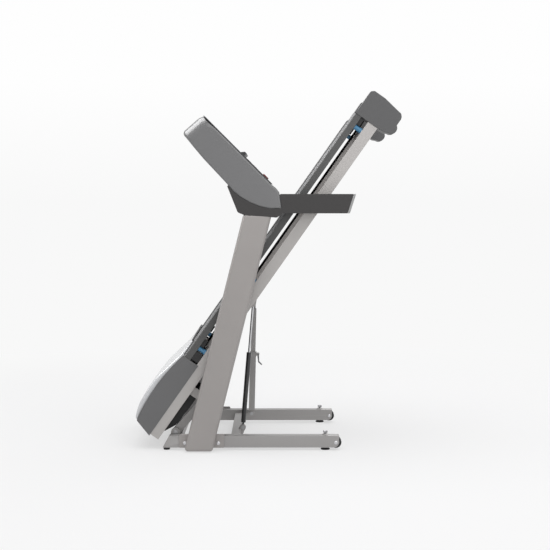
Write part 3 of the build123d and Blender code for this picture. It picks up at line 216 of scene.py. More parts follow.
# Base rails: two square steel tubes, powder-coated silver, each with a nut welded in for its
# leveller. Their front tips are cut on a slant and capped; the rear ends stay open for the wheels.
def finish(name, colour, roughness, metallic=0.0, coat=0.0, mottle=0.03, grain=700.0, relief=0.12,
           depth=0.00015, edge_highlight=0.0):
    """A paint, metal or moulded surface: mottled colour, uneven gloss, fine relief, and a painted highlight
    on sharp edges.
    """
    material = bpy.data.materials.new(name)
    material["slot"] = name
    material.use_nodes = True
    tree = material.node_tree
    shader = tree.nodes["Principled BSDF"]
    shader.inputs["Metallic"].default_value = metallic
    shader.inputs["Coat Weight"].default_value = coat
    shader.inputs["Coat Roughness"].default_value = 0.12
    place = tree.nodes.new("ShaderNodeTexCoord")
    broad = tree.nodes.new("ShaderNodeTexNoise")
    broad.inputs["Scale"].default_value = 7.0
    broad.inputs["Detail"].default_value = 5.0
    tree.links.new(place.outputs["Object"], broad.inputs["Vector"])
    tones = tree.nodes.new("ShaderNodeValToRGB")
    base = tint(*colour)
    for stop, share in zip(tones.color_ramp.elements, (1.0 - mottle, 1.0 + mottle)):
        stop.color = (base[0] * share, base[1] * share, base[2] * share, 1.0)
    tones.color_ramp.elements[0].position = 0.3
    tones.color_ramp.elements[1].position = 0.7
    tree.links.new(broad.outputs["Fac"], tones.inputs["Fac"])
    skin = tones.outputs["Color"]
    # Painted highlight: sharp convex edges, found by their pointiness, are mixed towards a paler copy of the
    # colour.
    if edge_highlight:
        edge = tree.nodes.new("ShaderNodeNewGeometry")
        edge_highlight_ramp = tree.nodes.new("ShaderNodeMapRange")
        edge_highlight_ramp.inputs["From Min"].default_value = 0.53
        edge_highlight_ramp.inputs["From Max"].default_value = 0.62
        edge_highlight_ramp.inputs["To Max"].default_value = edge_highlight
        edge_highlight_mix = tree.nodes.new("ShaderNodeMix")
        edge_highlight_mix.data_type = "RGBA"
        edge_highlight_mix.inputs["B"].default_value = tuple(min(1.0, part * 1.5 + 0.03) for part in base[:3]) + (1.0,)
        tree.links.new(edge.outputs["Pointiness"], edge_highlight_ramp.inputs["Value"])
        tree.links.new(edge_highlight_ramp.outputs["Result"], edge_highlight_mix.inputs["Factor"])
        tree.links.new(skin, edge_highlight_mix.inputs["A"])
        skin = edge_highlight_mix.outputs["Result"]
    tree.links.new(skin, shader.inputs["Base Color"])
    gloss = tree.nodes.new("ShaderNodeMapRange")
    gloss.inputs["To Min"].default_value = max(0.05, roughness - 0.07)
    gloss.inputs["To Max"].default_value = min(1.0, roughness + 0.07)
    tree.links.new(broad.outputs["Fac"], gloss.inputs["Value"])
    tree.links.new(gloss.outputs["Result"], shader.inputs["Roughness"])
    fine = tree.nodes.new("ShaderNodeTexNoise")
    fine.inputs["Scale"].default_value = grain
    fine.inputs["Detail"].default_value = 2.0
    tree.links.new(place.outputs["Object"], fine.inputs["Vector"])
    bump = tree.nodes.new("ShaderNodeBump")
    bump.name = "bump"
    bump.inputs["Strength"].default_value = relief
    bump.inputs["Distance"].default_value = depth
    tree.links.new(fine.outputs["Fac"], bump.inputs["Height"])
    tree.links.new(bump.outputs["Normal"], shader.inputs["Normal"])
    return material


def stand(shape, name, material, body, *stands_for, place=None, edge=0.0, steps=3, sharp=35):
    """Makes a mesh into a piece: put in its place, eased, smooth-shaded, finished and given its body."""
    if place:
        bmesh.ops.transform(shape, matrix=place, verts=shape.verts)
    mesh = bpy.data.meshes.new(name)
    shape.to_mesh(mesh)
    shape.free()
    mesh.polygons.foreach_set("use_smooth", [True] * len(mesh.polygons))
    mesh.set_sharp_from_angle(angle=radians(sharp))
    mesh.materials.append(material)
    piece = bpy.data.objects.new(name, mesh)
    bpy.context.scene.collection.objects.link(piece)
    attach(piece, body)
    if stands_for:
        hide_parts(*stands_for)
    if edge:
        ease = piece.modifiers.new("eased_edges", "BEVEL")
        ease.width = edge * MM
        ease.segments = steps
        ease.limit_method = "ANGLE"
        ease.angle_limit = radians(40)
        ease.harden_normals = True
    return piece


def eased(node, material, edge=1.0, steps=2):
    """A machined or pressed piece from its CAD solid, joined up, with every sharp edge eased."""
    shape = bmesh.new()
    shape.from_mesh(nodes[node].data)
    bmesh.ops.remove_doubles(shape, verts=shape.verts, dist=2e-6)
    bmesh.ops.dissolve_limit(shape, angle_limit=radians(0.3), verts=shape.verts, edges=shape.edges)
    return stand(shape, node + "_finished", material, nodes[node]["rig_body"], node, edge=edge, steps=steps)


MM = 0.001
# The base paint's last setting lightens its sharp edges: a painted highlight.
base_paint = finish("base_paint", (151, 149, 148), 0.42, metallic=0.25, mottle=0.02, edge_highlight=0.35)
for side in ("left", "right"):
    eased("base_rail_" + side, base_paint, 2.0, 3)


# Crossmembers: a rectangular tube between the rails' tips with the ears of the pivot shaft, and
# a square one behind the masts with the lower brackets of both struts, welded and coated alike.
for node in ("front_crossmember", "mid_crossmember"):
    eased(node, base_paint, 1.5)


# Weld beads: ripples of steel under the paint, laid up both edges and along the top of each
# crossmember where it meets the rails.
def weld(shape, start, end, radius=2.2):
    """Adds a row of overlapping beads from one point to another, in millimetres."""
    line = Vector(end) - Vector(start)
    count = max(2, int(line.length / 2.6))
    for step in range(count + 1):
        spot = (Vector(start) + line * step / count) * MM
        place = Matrix.Translation(spot)
        bmesh.ops.create_icosphere(shape, subdivisions=2, radius=radius * MM, matrix=place)


stand_place = Matrix.Translation((rail_tip + 6 * MM, 0.0, 0.0))
rail_half = 350
rail_inner = 325
shape = bmesh.new()
for side in (-1, 1):
    y = side * rail_inner
    for front, rear, top in ((24, 66, 46), (283, 320, 49)):
        weld(shape, (front, y, 14), (front, y, top))
        weld(shape, (rear, y, 14), (rear, y, top))
        weld(shape, (front + 2, y, top), (rear - 2, y, top))
stand(shape, "rail_welds", base_paint, "base", place=stand_place, sharp=80)


# Front feet: black rubber buttons pressed into the rails' undersides near the tips, with a
# softened rim that meets the floor.
def turned(shape, start, along, profile, steps=48):
    """Adds a turned solid: (distance, radius) pairs from a point along a line, in millimetres."""
    start, along = Vector(start) * MM, Vector(along).normalized()
    across = along.orthogonal().normalized()
    line = [shape.verts.new(start + (along * s + across * r) * MM) for s, r in profile]
    edges = [shape.edges.new(pair) for pair in zip(line, line[1:])]
    bmesh.ops.spin(shape, geom=line + edges, cent=start, axis=along, angle=2 * pi, steps=steps,
                   use_merge=True)
    bmesh.ops.remove_doubles(shape, verts=shape.verts, dist=1e-6)
    bmesh.ops.recalc_face_normals(shape, faces=shape.faces)


black_rubber = finish("black_rubber", (30, 30, 31), 0.7, grain=420.0, relief=0.2)
shape = bmesh.new()
for side in (-1, 1):
    turned(shape, (10, side * rail_half, 0), (0, 0, 1),
           [(0, 0), (0, 12), (0.6, 13.2), (2, 14), (9, 14), (12, 12.6), (12, 0)])
stand(shape, "front_feet_finished", black_rubber, "base", "front_feet", place=stand_place)


# Levellers: a moulded rubber pad on a screwed steel stem through the rail, with a six-sided head
# above the rail to turn it by.
leveller_x = 688
steel = finish("steel", (172, 172, 174), 0.3, metallic=0.9, mottle=0.03)
for name, side in (("left", -1), ("right", 1)):
    shape = bmesh.new()
    turned(shape, (leveller_x, side * rail_half, 0), (0, 0, 1),
           [(0, 0), (0, 17), (0.8, 18.8), (2, 19.5), (4, 19.5), (5.2, 18.9), (6, 17.5), (6, 12), (7.5, 9),
            (7.5, 0)])
    stand(shape, "leveller_" + name + "_pad", black_rubber, "leveller_" + name, "leveller_" + name,
          place=stand_place)
    shape = bmesh.new()
    thread = []
    for turn in range(22):
        thread += [(7 + turn * 3.0, 4.9), (8.5 + turn * 3.0, 4.2)]
    turned(shape, (leveller_x, side * rail_half, 0), (0, 0, 1),
           [(7, 0)] + thread + [(72.5, 4.9), (72.5, 0)], 32)
    turned(shape, (leveller_x, side * rail_half, 72.5), (0, 0, 1),
           [(0, 0), (0, 9.4), (0.8, 10), (8.0, 10), (9, 8.8), (9, 0)], 6)
    stand(shape, "leveller_" + name + "_stem", steel, "leveller_" + name, place=stand_place)


# Transport wheels: black rubber tyres with two grooves, pressed on grey nylon hubs that turn on
# the axle bolts in the rails' open rear ends.
wheel_x = 732.5
wheel_height = 33
hub_nylon = finish("wheel_hub", (120, 120, 122), 0.5)
hub_nylon["slot"] = "black_rubber"
for name, side in (("left", -1), ("right", 1)):
    start = (wheel_x, side * rail_half - 19, wheel_height)
    shape = bmesh.new()
    turned(shape, start, (0, 1, 0),
           [(1, 15), (0.6, 17), (0, 19), (0.8, 22), (3, 24), (11, 24), (11.6, 22.6), (13.4, 22.6), (14, 24),
            (24, 24), (24.6, 22.6), (26.4, 22.6), (27, 24), (35, 24), (37.2, 22), (38, 19), (37.4, 17),
            (37, 15), (1, 15)], 64)
    stand(shape, "wheel_" + name + "_tyre", black_rubber, "wheel_" + name, "transport_wheel_" + name,
          place=stand_place)
    shape = bmesh.new()
    turned(shape, start, (0, 1, 0),
           [(2, 4.3), (1, 4.8), (1, 7.5), (4, 8.5), (4, 13), (1.4, 14), (1.4, 15), (36.6, 15), (36.6, 14),
            (34, 13), (34, 8.5), (37, 7.5), (37, 4.8), (36, 4.3), (2, 4.3)], 64)
    stand(shape, "wheel_" + name + "_hub", hub_nylon, "wheel_" + name, place=stand_place)


# Base bolts: zinc-plated hexagon bolts with washers and nuts, two through each mast's plate and
# one through each wheel.
def bolt(shape, spot, along, radius, height):
    """Adds a washer with a chamfered hexagon head or nut on it, standing out along a line."""
    turned(shape, spot, along,
           [(0, 0), (0, radius - 0.3), (0.3, radius), (1.0, radius), (1.2, radius - 0.3), (1.2, 0)], 36)
    flat = radius * 0.86
    turned(shape, spot, along,
           [(1.2, 0), (1.2, flat), (height - 0.7, flat), (height, radius * 0.72), (height, 0)], 6)


rail_outer = 375
mast_inner = 381
bolt_zinc = finish("base_bolts", (196, 196, 198), 0.28, metallic=0.95)
bolt_zinc["slot"] = "steel"
shape = bmesh.new()
for side in (-1, 1):
    out = (0, side, 0)
    back = (0, -side, 0)
    for x in (90, 231):
        bolt(shape, (x, side * mast_inner, 32), out, 8, 5)
        bolt(shape, (x, side * (rail_outer - 2.5), 32), back, 7, 6)
        turned(shape, (x, side * (rail_outer - 10.5), 32), out,
               [(0, 0), (0, 3.4), (0.6, 4), (16.5, 4), (16.5, 0)], 24)
    bolt(shape, (wheel_x, side * rail_outer, wheel_height), out, 8, 3)
    bolt(shape, (wheel_x, side * rail_inner, wheel_height), back, 7, 5)
    turned(shape, (wheel_x, side * rail_inner, wheel_height), out,
           [(0, 0), (0, 3.95), (50, 3.95), (50, 0)], 24)
stand(shape, "base_bolts_finished", bolt_zinc, "base", "base_bolts", place=stand_place)


# Masts: flat-sided steel tubes, well rounded at their edges, that lean back, in warm silver powder
# coat, each welded to the plate that bolts it to its rail. Their lower ends are rounded off.
def soften(points, radius, steps=4):
    """An outline with its corners rounded; a corner's own radius may be its third value."""
    ring = []
    for before, here, after in zip(points[-1:] + points[:-1], points, points[1:] + points[:1]):
        corner = Vector(here[:2])
        back, on = Vector(before[:2]) - corner, Vector(after[:2]) - corner
        wanted = here[2] if len(here) > 2 else radius
        half = back.angle(on) / 2
        reach = min(wanted / tan(half), back.length * 0.45, on.length * 0.45)
        if reach < 0.05:
            ring.append(tuple(corner))
            continue
        first, last = corner + back.normalized() * reach, corner + on.normalized() * reach
        centre = corner + (back.normalized() + on.normalized()).normalized() * (reach / cos(half))
        for step in range(steps + 1):
            spoke = (first - centre).lerp(last - centre, step / steps)
            ring.append(tuple(centre + spoke.normalized() * (first - centre).length))
    return ring


def prism(shape, points, low, high):
    """Adds a solid: an outline in X and Z, in millimetres, carried from one Y to another."""
    face = shape.faces.new([shape.verts.new((x * MM, low * MM, z * MM)) for x, z in points])
    pushed = bmesh.ops.extrude_face_region(shape, geom=[face])
    moved = [item for item in pushed["geom"] if isinstance(item, bmesh.types.BMVert)]
    bmesh.ops.translate(shape, verts=moved, vec=(0.0, (high - low) * MM, 0.0))
    bmesh.ops.recalc_face_normals(shape, faces=shape.faces)


rail_top = 62
mast_lean = radians(14.1)
mast_bottom, mast_top = 4, 1006
mast_outer = 430
mast_foot_x = 163
mast_half_depth = 58
plate_top = 70
mast_paint = finish("mast_paint", (150, 146, 144), 0.38, metallic=0.35, mottle=0.02, coat=0.15)
for name, side in (("left", -1), ("right", 1)):
    half = mast_half_depth / cos(mast_lean)
    ends = []
    for z in (mast_bottom, mast_top):
        middle = mast_foot_x + (z - rail_top) * tan(mast_lean)
        ends.append(((middle - half, z), (middle + half, z)))
    (low_front, low_rear), (top_front, top_rear) = ends
    outline = soften([low_front + (12,), low_rear + (12,), top_rear + (0,), top_front + (0,)], 0)
    shape = bmesh.new()
    prism(shape, outline, *sorted((side * mast_inner, side * mast_outer)))
    stand(shape, "mast_" + name + "_tube", mast_paint, "base", "mast_" + name, place=stand_place,
          edge=14, steps=7)
    shape = bmesh.new()
    prism(shape, soften([(64, 12), (257, 12), (257, plate_top), (64, plate_top)], 5),
          *sorted((side * rail_outer, side * mast_inner)))
    stand(shape, "mast_" + name + "_plate", mast_paint, "base", place=stand_place, edge=1.2)
    shape = bmesh.new()
    foot = mast_foot_x + (plate_top - rail_top) * tan(mast_lean)
    bead = (side * (mast_inner + 0.5), plate_top + 1)
    for end in (-1, 1):
        weld(shape, (foot + end * 43, *bead), (foot, *bead), 2.0)
    stand(shape, "mast_" + name + "_weld", mast_paint, "base", place=stand_place, sharp=80)


# Console frame: the hidden steel frame of the console, a square beam between the masts with a leg
# down inside each and a tube out along each handrail, zinc-plated.
frame_zinc = finish("steel_frame", (150, 150, 150), 0.4, metallic=0.8, mottle=0.05)
frame_zinc["slot"] = "steel"
eased("console_frame", frame_zinc, 1.2)


# Console shell: a thin glossy grey moulding round the console's back, ends and underside. Its
# nose and ends are rounded, and it is raised between the masts to clear the stored deck.
face_low_x = 461
face_low_z = 1133
diagonal = sqrt(0.5)
console_half_width = 432
back_high, back_low = (491, 1097), (501, 1029)
belly = [(451, 1029), (408, 1038), (367, 1055), (330, 1076), (298, 1102)]
middle_bottom = 1100
middle_half = 378
console_grey = finish("console_grey", (103, 103, 104), 0.3, coat=0.35, mottle=0.01, relief=0.02)


def face_spot(w, out):
    """X and Z of a point up the sloping face (w) and standing out from it."""
    return (face_low_x - (w - out) * diagonal, face_low_z + (w + out) * diagonal)


outline = soften([face_spot(0, -4), (476, 1116), back_high, back_low]
                 + [spot + (0,) for spot in belly]
                 + [(267, 1138, 18), (176, 1235, 20), (83, 1345, 17), (153, 1406, 17), face_spot(402, -4)], 0)
nose = Vector((118, 1375.5))
nose_out = Vector((-0.657, 0.754))
nose_reach = 95
ring = []
for one, two in zip(outline, outline[1:] + outline[:1]):
    ring.append(one)
    span = Vector(two) - Vector(one)
    extra = {step / 12 for step in range(1, 12)} if span.length > 90 else set()
    if (one[1] - middle_bottom) * (two[1] - middle_bottom) < 0:
        extra.add((middle_bottom - one[1]) / span.y)
    ring += [tuple(Vector(one) + span * share) for share in sorted(extra)]
count = len(ring)
end_round = 7
round_steps = 10
nose_inset, nose_depth = 60, 40
shape = bmesh.new()
sections = [[shape.verts.new((x * MM, y * MM, z * MM)) for x, z in ring] for y in (-middle_half, middle_half)]
caps = []
for side, start in ((-1, sections[0]), (1, sections[1])):
    rows = [start]
    for step in range(round_steps + 2):
        angle = pi / 2 * min(step, round_steps) / round_steps
        flat = 1.5 * max(0, step - round_steps)
        row = []
        for i in range(count):
            here = Vector(ring[i])
            came = (here - Vector(ring[i - 1])).normalized()
            goes = (Vector(ring[(i + 1) % count]) - here).normalized()
            inward = Vector((came.y + goes.y, -came.x - goes.x)) / (1 + came.dot(goes))
            inside = min(1.0, max(0.0, -(here - nose).dot(nose_out) / nose_reach))
            weight = (1 - inside) ** 2 * (1 + 2 * inside)
            move = (inward * end_round - nose_out * (nose_inset - end_round) * weight) * (1 - cos(angle))
            move += inward * flat
            depth = end_round + (nose_depth - end_round) * weight
            y = side * (console_half_width - depth * (1 - sin(angle)))
            spot = here + move
            row.append(shape.verts.new((spot.x * MM, y * MM, spot.y * MM)))
        rows.append(row)
    caps.append(rows)
open_face = face_low_x + face_low_z - 4 * sqrt(2)
open_low, open_high = 133, 391


def shown(i, middle_bay):
    """Whether the shell has a wall along this edge: not under the panel, nor below the raised middle."""
    one, two = ring[i], ring[(i + 1) % count]
    on_face = all(abs(sum(spot) - open_face) < 0.5 for spot in (one, two))
    w = (one[1] - one[0] - face_low_z + face_low_x) * diagonal
    under_panel = on_face and open_low < w < open_high
    return not under_panel and not (middle_bay and min(one[1], two[1]) < middle_bottom - 0.01)


for i in range(count):
    j = (i + 1) % count
    if shown(i, True):
        shape.faces.new((sections[0][i], sections[0][j], sections[1][j], sections[1][i]))
    first = 0 if shown(i, False) else 1
    for rows in caps:
        for one, two in zip(rows[first:], rows[first + 1:]):
            shape.faces.new((one[i], one[j], two[j], two[i]))
for rows in caps:
    shape.faces.new(rows[-1])
below = [i for i in range(count) if ring[i][1] <= middle_bottom + 0.01]
turn = next((k for k in range(1, len(below)) if below[k] != below[k - 1] + 1), 0)
below = below[turn:] + below[:turn]
for section in sections:
    shape.faces.new([section[i] for i in below])
near, far = sections
shape.faces.new((near[below[0]], near[below[-1]], far[below[-1]], far[below[0]]))
bmesh.ops.recalc_face_normals(shape, faces=shape.faces)
piece = stand(shape, "console_shell_finished", console_grey, "base", "console_shell", place=stand_place,
              edge=1.5, steps=2)
wall = piece.modifiers.new("wall", "SOLIDIFY")
wall.thickness = 2.5 * MM
wall.offset = -1


# Console panel: the dark moulded control panel let into the shell's sloping face, with two cup
# wells, a reading ledge, a ring grille over the fan and two slotted speaker grilles.
panel_dark = finish("panel_dark", (50, 51, 53), 0.4, grain=900.0, relief=0.25)
eased("console_face", panel_dark, 0.8)


# Cup mats: moulded rubber discs with round ribs, laid loose in the bottoms of the two cup wells
# to keep a bottle from rattling.
mat_rubber = finish("cup_mats", (38, 38, 40), 0.8)
mat_rubber["slot"] = "panel_dark"
shape = bmesh.new()
for side in (-1, 1):
    rings = [(0, 0), (2.2, 0)]
    for step in range(5):
        inner = 4 + step * 7
        rings += [(2.2, inner), (1.2, inner + 0.8), (1.2, inner + 2.6), (2.2, inner + 3.4)]
    turned(shape, (face_low_x - 88 * diagonal, side * 305, 1140.2), (0, 0, 1),
           rings + [(2.2, 37), (1.4, 38), (0, 38)], 64)
stand(shape, "cup_mats", mat_rubber, "base", place=stand_place)


# Display: a smoked acrylic window let into the panel over its circuit board, with three groups of
# noughts that show on it in pale strokes.
lens_smoke = finish("lens", (18, 20, 23), 0.08, coat=1.0, mottle=0.01, relief=0.0)
circuit = finish("circuit", (28, 84, 52), 0.5, mottle=0.08)
eased("display_lens", lens_smoke, 0.6)
eased("display_board", circuit, 0.4, 1)
face_place = stand_place @ Matrix(((0, -diagonal, -diagonal, face_low_x * MM), (1, 0, 0, 0),
                                   (0, -diagonal, diagonal, face_low_z * MM), (0, 0, 0, 1)))
segments = finish("display_figures", (120, 190, 170), 0.4)
segments["slot"] = "lens"
figure_w = 300
figure_half = 7
stroke = 1.82


def nought(shape, y):
    """Adds a nought of six strokes to the display, flat on the window."""
    tall, end = 2 * figure_half, 1.6 * stroke
    sides = [(-figure_half, stroke - figure_half), (figure_half - stroke, figure_half)]
    strokes = [(-figure_half, figure_half, tall - stroke, tall),
               (-figure_half, figure_half, -tall, stroke - tall)]
    for left, right in sides:
        strokes += [(left, right, stroke, tall - end), (left, right, end - tall, -stroke)]
    for left, right, low, high in strokes:
        corners = [(left, low), (right, low), (right, high), (left, high)]
        prism(shape, [(y + a, figure_w + b) for a, b in corners], 0.25, 0.5)


shape = bmesh.new()
pitch = 21
for middle, marks in ((-108, "0.0"), (0, "00.00"), (108, "000")):
    y = middle - pitch * (len(marks.replace(".", "")) - 1) / 2
    for mark in marks:
        if mark == ".":
            dot = [(-1.6, -14), (1.6, -14), (1.6, -10.8), (-1.6, -10.8)]
            prism(shape, soften([(y - pitch / 2 + a, figure_w + b) for a, b in dot], 1), 0.25, 0.5)
        else:
            nought(shape, y)
            y += pitch
stand(shape, "display_figures", segments, "base", place=face_place)


# Keys: six moulded caps with eased edges, each with a raised pale symbol: a triangle to start, a
# square to stop, and arrows up and down for the speed and the incline.
key_grey = finish("key_grey", (132, 132, 134), 0.45)
key_green = finish("key_green", (48, 140, 78), 0.45)
key_red = finish("key_red", (182, 40, 38), 0.45)
symbol_white = finish("key_symbols", (225, 226, 226), 0.5)
symbol_white["slot"] = "key_grey"
arrow_up = [(-7, -4.5), (7, -4.5), (0, 6)]
arrow_down = [(-7, 4.5), (0, -6), (7, 4.5)]
for key, paint, y, w, symbol in (
        ("start_button", key_green, 86, 48, [(-5, -7), (7, 0), (-5, 7)]),
        ("stop_button", key_red, -86, 48, [(-6, -6), (6, -6), (6, 6), (-6, 6)]),
        ("speed_up_button", key_grey, 205, 142, arrow_up),
        ("speed_down_button", key_grey, 205, 106, arrow_down),
        ("incline_up_button", key_grey, -205, 142, arrow_up),
        ("incline_down_button", key_grey, -205, 106, arrow_down)):
    eased(key, paint, 1.1, 3)
    shape = bmesh.new()
    prism(shape, soften([(y + a, w + b) for a, b in symbol], 1.0), -2.62, -2.3)
    stand(shape, key + "_symbol", symbol_white, nodes[key]["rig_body"], place=face_place)


# Safety key: a dark red moulded key that pulls out of its socket at the foot of the panel, ribbed
# across for the fingers.
safety_red = finish("safety_key", (118, 34, 34), 0.5)
safety_red["slot"] = "key_red"
eased("safety_key", safety_red, 1.6, 4)
shape = bmesh.new()
for step in range(5):
    w = 40 + step * 4
    prism(shape, soften([(-16, w - 0.9), (16, w - 0.9), (16, w + 0.9), (-16, w + 0.9)], 0.8, 3), -9.0, -8.3)
stand(shape, "safety_key_ribs", safety_red, nodes["safety_key"]["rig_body"], place=face_place,
      edge=0.25, steps=2)


# Console fan: a small black moulded rotor of seven blades that turns on a spindle behind the
# panel's ring grille and blows towards the runner.
black_plastic = finish("black_plastic", (34, 34, 35), 0.5)
eased("fan_rotor", black_plastic, 0.6)


# Handrails: charcoal textured mouldings, each shrouding a mast's top and running out towards the
# runner, well rounded along all their edges, with a light plug pressed into the slanted end.
charcoal = finish("charcoal", (42, 40, 40), 0.5, grain=520.0, relief=0.35, depth=0.0002)
end_cap_grey = finish("end_cap_grey", (150, 150, 150), 0.45)
arm_bottom, arm_top = 1009, 1090
share = (arm_top - back_low[1]) / (back_high[1] - back_low[1])
back_x = back_low[0] + (back_high[0] - back_low[0]) * share
arm_line = ([(267, 1138, 3), (317, 1013, 10), (341, 1003, 12), (481, 991, 14), (497, 1002, 8),
             (503, arm_bottom, 8), (775, arm_bottom, 1), (801, arm_top, 1), (back_x, arm_top, 5),
             back_low + (2,)] + [spot + (0,) for spot in belly])
for name, side in (("left", -1), ("right", 1)):
    span = sorted((side * (mast_inner - 2), side * mast_outer))
    shape = bmesh.new()
    prism(shape, soften(arm_line, 0), *span)
    stand(shape, "handrail_" + name + "_finished", charcoal, "base", "handrail_" + name, place=stand_place,
          edge=6, steps=5)
shape = bmesh.new()
for side in (-1, 1):
    span = sorted((side * (mast_inner - 2), side * mast_outer))
    prism(shape, [(775.3, arm_bottom), (786, arm_bottom), (812, arm_top), (801.3, arm_top)], *span)
stand(shape, "arm_end_caps_finished", end_cap_grey, "base", "arm_end_caps", place=stand_place,
      edge=3, steps=4)


# Lift frame: two silver steel arms with knuckles on a plated pivot shaft, joined by a round tube
# with the lug that the incline screw pulls.
eased("pivot_shaft", steel, 1.0)
eased("lift_frame", base_paint, 1.5)


# Gas strut: a black gas cylinder with a plated rod that takes the deck's weight while it folds,
# held to the base by a headed pin.
strut_black = finish("strut_black", (34, 34, 35), 0.3, coat=0.3)
rod_chrome = finish("gas_rod", (200, 200, 202), 0.12, metallic=1.0, mottle=0.01, relief=0.0)
rod_chrome["slot"] = "steel"
eased("gas_cylinder", strut_black, 1.5, 3)
eased("gas_rod", rod_chrome, 0.6)
eased("gas_pin", steel, 0.6)


# Folding lock: two square steel tubes that slide one in the other and lock when the deck is up,
# with a collar round the outer one's mouth and a sprung foot pedal that frees them.
eased("lock_tube_outer", base_paint, 0.8)
eased("lock_tube_inner", base_paint, 0.8)
eased("lock_pin", steel, 0.6)
pedal_steel = finish("latch_lever", (120, 120, 122), 0.35, metallic=0.8)
pedal_steel["slot"] = "steel"
eased("latch_lever", pedal_steel, 0.8)


# Deck frame: two rectangular steel tubes with five crossmembers, brackets for the lift frame, the
# rollers and the struts, and the plates of the motor bay, welded and silver powder-coated.
# The deck paint's last setting lightens its sharp edges a little: a painted highlight.
deck_paint = finish("deck_paint", (170, 167, 165), 0.4, metallic=0.25, mottle=0.02, edge_highlight=0.2)
eased("deck_frame", deck_paint, 1.6, 3)


# Running board: a 19 mm board of pressed wood plies, sealed on top, that shows its layers along
# its edges.
deck_slope = radians(54.86)
board = finish("board", (128, 98, 66), 0.55, mottle=0.06, grain=260.0, relief=0.2)
tree = board.node_tree
where = tree.nodes.new("ShaderNodeTexCoord")
turn = tree.nodes.new("ShaderNodeMapping")
turn.vector_type = "TEXTURE"
turn.inputs["Rotation"].default_value = (0.0, -deck_slope, 0.0)
plies = tree.nodes.new("ShaderNodeTexWave")
plies.bands_direction = "Z"
plies.inputs["Scale"].default_value = 110.0
plies.inputs["Distortion"].default_value = 0.4
shade = tree.nodes.new("ShaderNodeMix")
shade.data_type = "RGBA"
shade.blend_type = "MULTIPLY"
shade.inputs["B"].default_value = (0.62, 0.55, 0.48, 1.0)
shader = tree.nodes["Principled BSDF"]
skin = shader.inputs["Base Color"].links[0].from_socket
tree.links.new(where.outputs["Object"], turn.inputs["Vector"])
tree.links.new(turn.outputs["Vector"], plies.inputs["Vector"])
tree.links.new(plies.outputs["Fac"], shade.inputs["Factor"])
tree.links.new(skin, shade.inputs["A"])
tree.links.new(shade.outputs["Result"], shader.inputs["Base Color"])
eased("running_board", board, 1.0)


# Rollers: steel tubes turned true, each on a fixed axle with its ends held in the frame's plates;
# the front one carries the ribbed pulley.
eased("front_roller", steel, 0.8)
eased("rear_roller", steel, 0.8)
eased("roller_axles", steel, 0.8)


# Running belt: a thin seamless black belt of rubber-faced fabric round both rollers, with a fine
# pebbled grip on its outside.
belt_rubber = finish("belt_rubber", (30, 30, 31), 0.75)
tree = belt_rubber.node_tree
pebbles = tree.nodes.new("ShaderNodeTexVoronoi")
pebbles.inputs["Scale"].default_value = 330.0
where = tree.nodes.new("ShaderNodeTexCoord")
tree.links.new(where.outputs["Object"], pebbles.inputs["Vector"])
bump = tree.nodes["bump"]
bump.inputs["Strength"].default_value = 0.5
bump.inputs["Distance"].default_value = 0.0006
tree.links.new(pebbles.outputs["Distance"], bump.inputs["Height"])
deck_start_x, deck_start_z = -0.014789, 0.051092
deck_place = (Matrix.Translation((rail_tip + deck_start_x, 0.0, deck_start_z))
              @ Matrix.Rotation(-deck_slope, 4, "Y"))
front_roller_v = 372
rear_roller_v = 1650
roller_u = 82
belt_half = 254
outside, inside = 22.0, 20.3
shape = bmesh.new()
loops = []
for radius, y in ((outside, -belt_half), (outside, belt_half), (inside, belt_half), (inside, -belt_half)):
    line = []
    for middle, start in ((front_roller_v, pi / 2), (rear_roller_v, -pi / 2)):
        for step in range(33):
            angle = start + pi * step / 32
            v, u = middle + radius * cos(angle), roller_u + radius * sin(angle)
            line.append(shape.verts.new((v * MM, y * MM, u * MM)))
    loops.append(line)
for one, two in zip(loops, loops[1:] + loops[:1]):
    for i in range(len(one)):
        j = (i + 1) % len(one)
        shape.faces.new((one[i], one[j], two[j], two[i]))
bmesh.ops.recalc_face_normals(shape, faces=shape.faces)
stand(shape, "running_belt_finished", belt_rubber, "deck", "running_belt", place=deck_place)


# Deck cushions: four turned pads of blue elastomer a side, waisted and flanged, that carry the
# board, with black stop blocks beside the end ones and guards over the front axle's ends.
cushion_blue = finish("cushion_blue", (67, 122, 158), 0.45, mottle=0.05)
tube_middle = 335
shape = bmesh.new()
for side in (-1, 1):
    for v in (409, 780, 1182, 1561):
        turned(shape, (v, side * tube_middle, 48), (0, 0, 1),
               [(0, 0), (0, 11.4), (0.6, 12), (5, 12), (7, 11.2), (12, 10.8), (23, 10.8), (28, 11.2),
                (30, 12), (34.4, 12), (35, 11.4), (35, 0)])
stand(shape, "deck_cushions_pads", cushion_blue, "deck", "deck_cushions", place=deck_place)
block_rubber = finish("deck_stop_blocks", (24, 24, 25), 0.65)
block_rubber["slot"] = "black_rubber"
shape = bmesh.new()
for side in (-1, 1):
    for v in (422, 1574):
        prism(shape, soften([(v, 66), (v + 33, 66), (v + 33, 83), (v, 83)], 2),
              *sorted((side * (tube_middle - 12), side * (tube_middle + 12))))
    prism(shape, soften([(354, 48.5), (394, 48.5), (394, 83), (354, 83)], 3),
          *sorted((side * 338.5, side * 349)))
stand(shape, "deck_stop_blocks", block_rubber, "deck", place=deck_place, edge=1.5)


# Foot rails: extruded grey strips over the board's edges for the runner to stand on, with a ribbed
# tread along the top and down the outer slope, the rail's own plastic given a paler grey as painted light.
rail_place = deck_place @ Matrix.Rotation(pi / 2, 4, "Z")
rail_plastic = finish("rail_plastic", (74, 74, 74), 0.5, mottle=0.03)
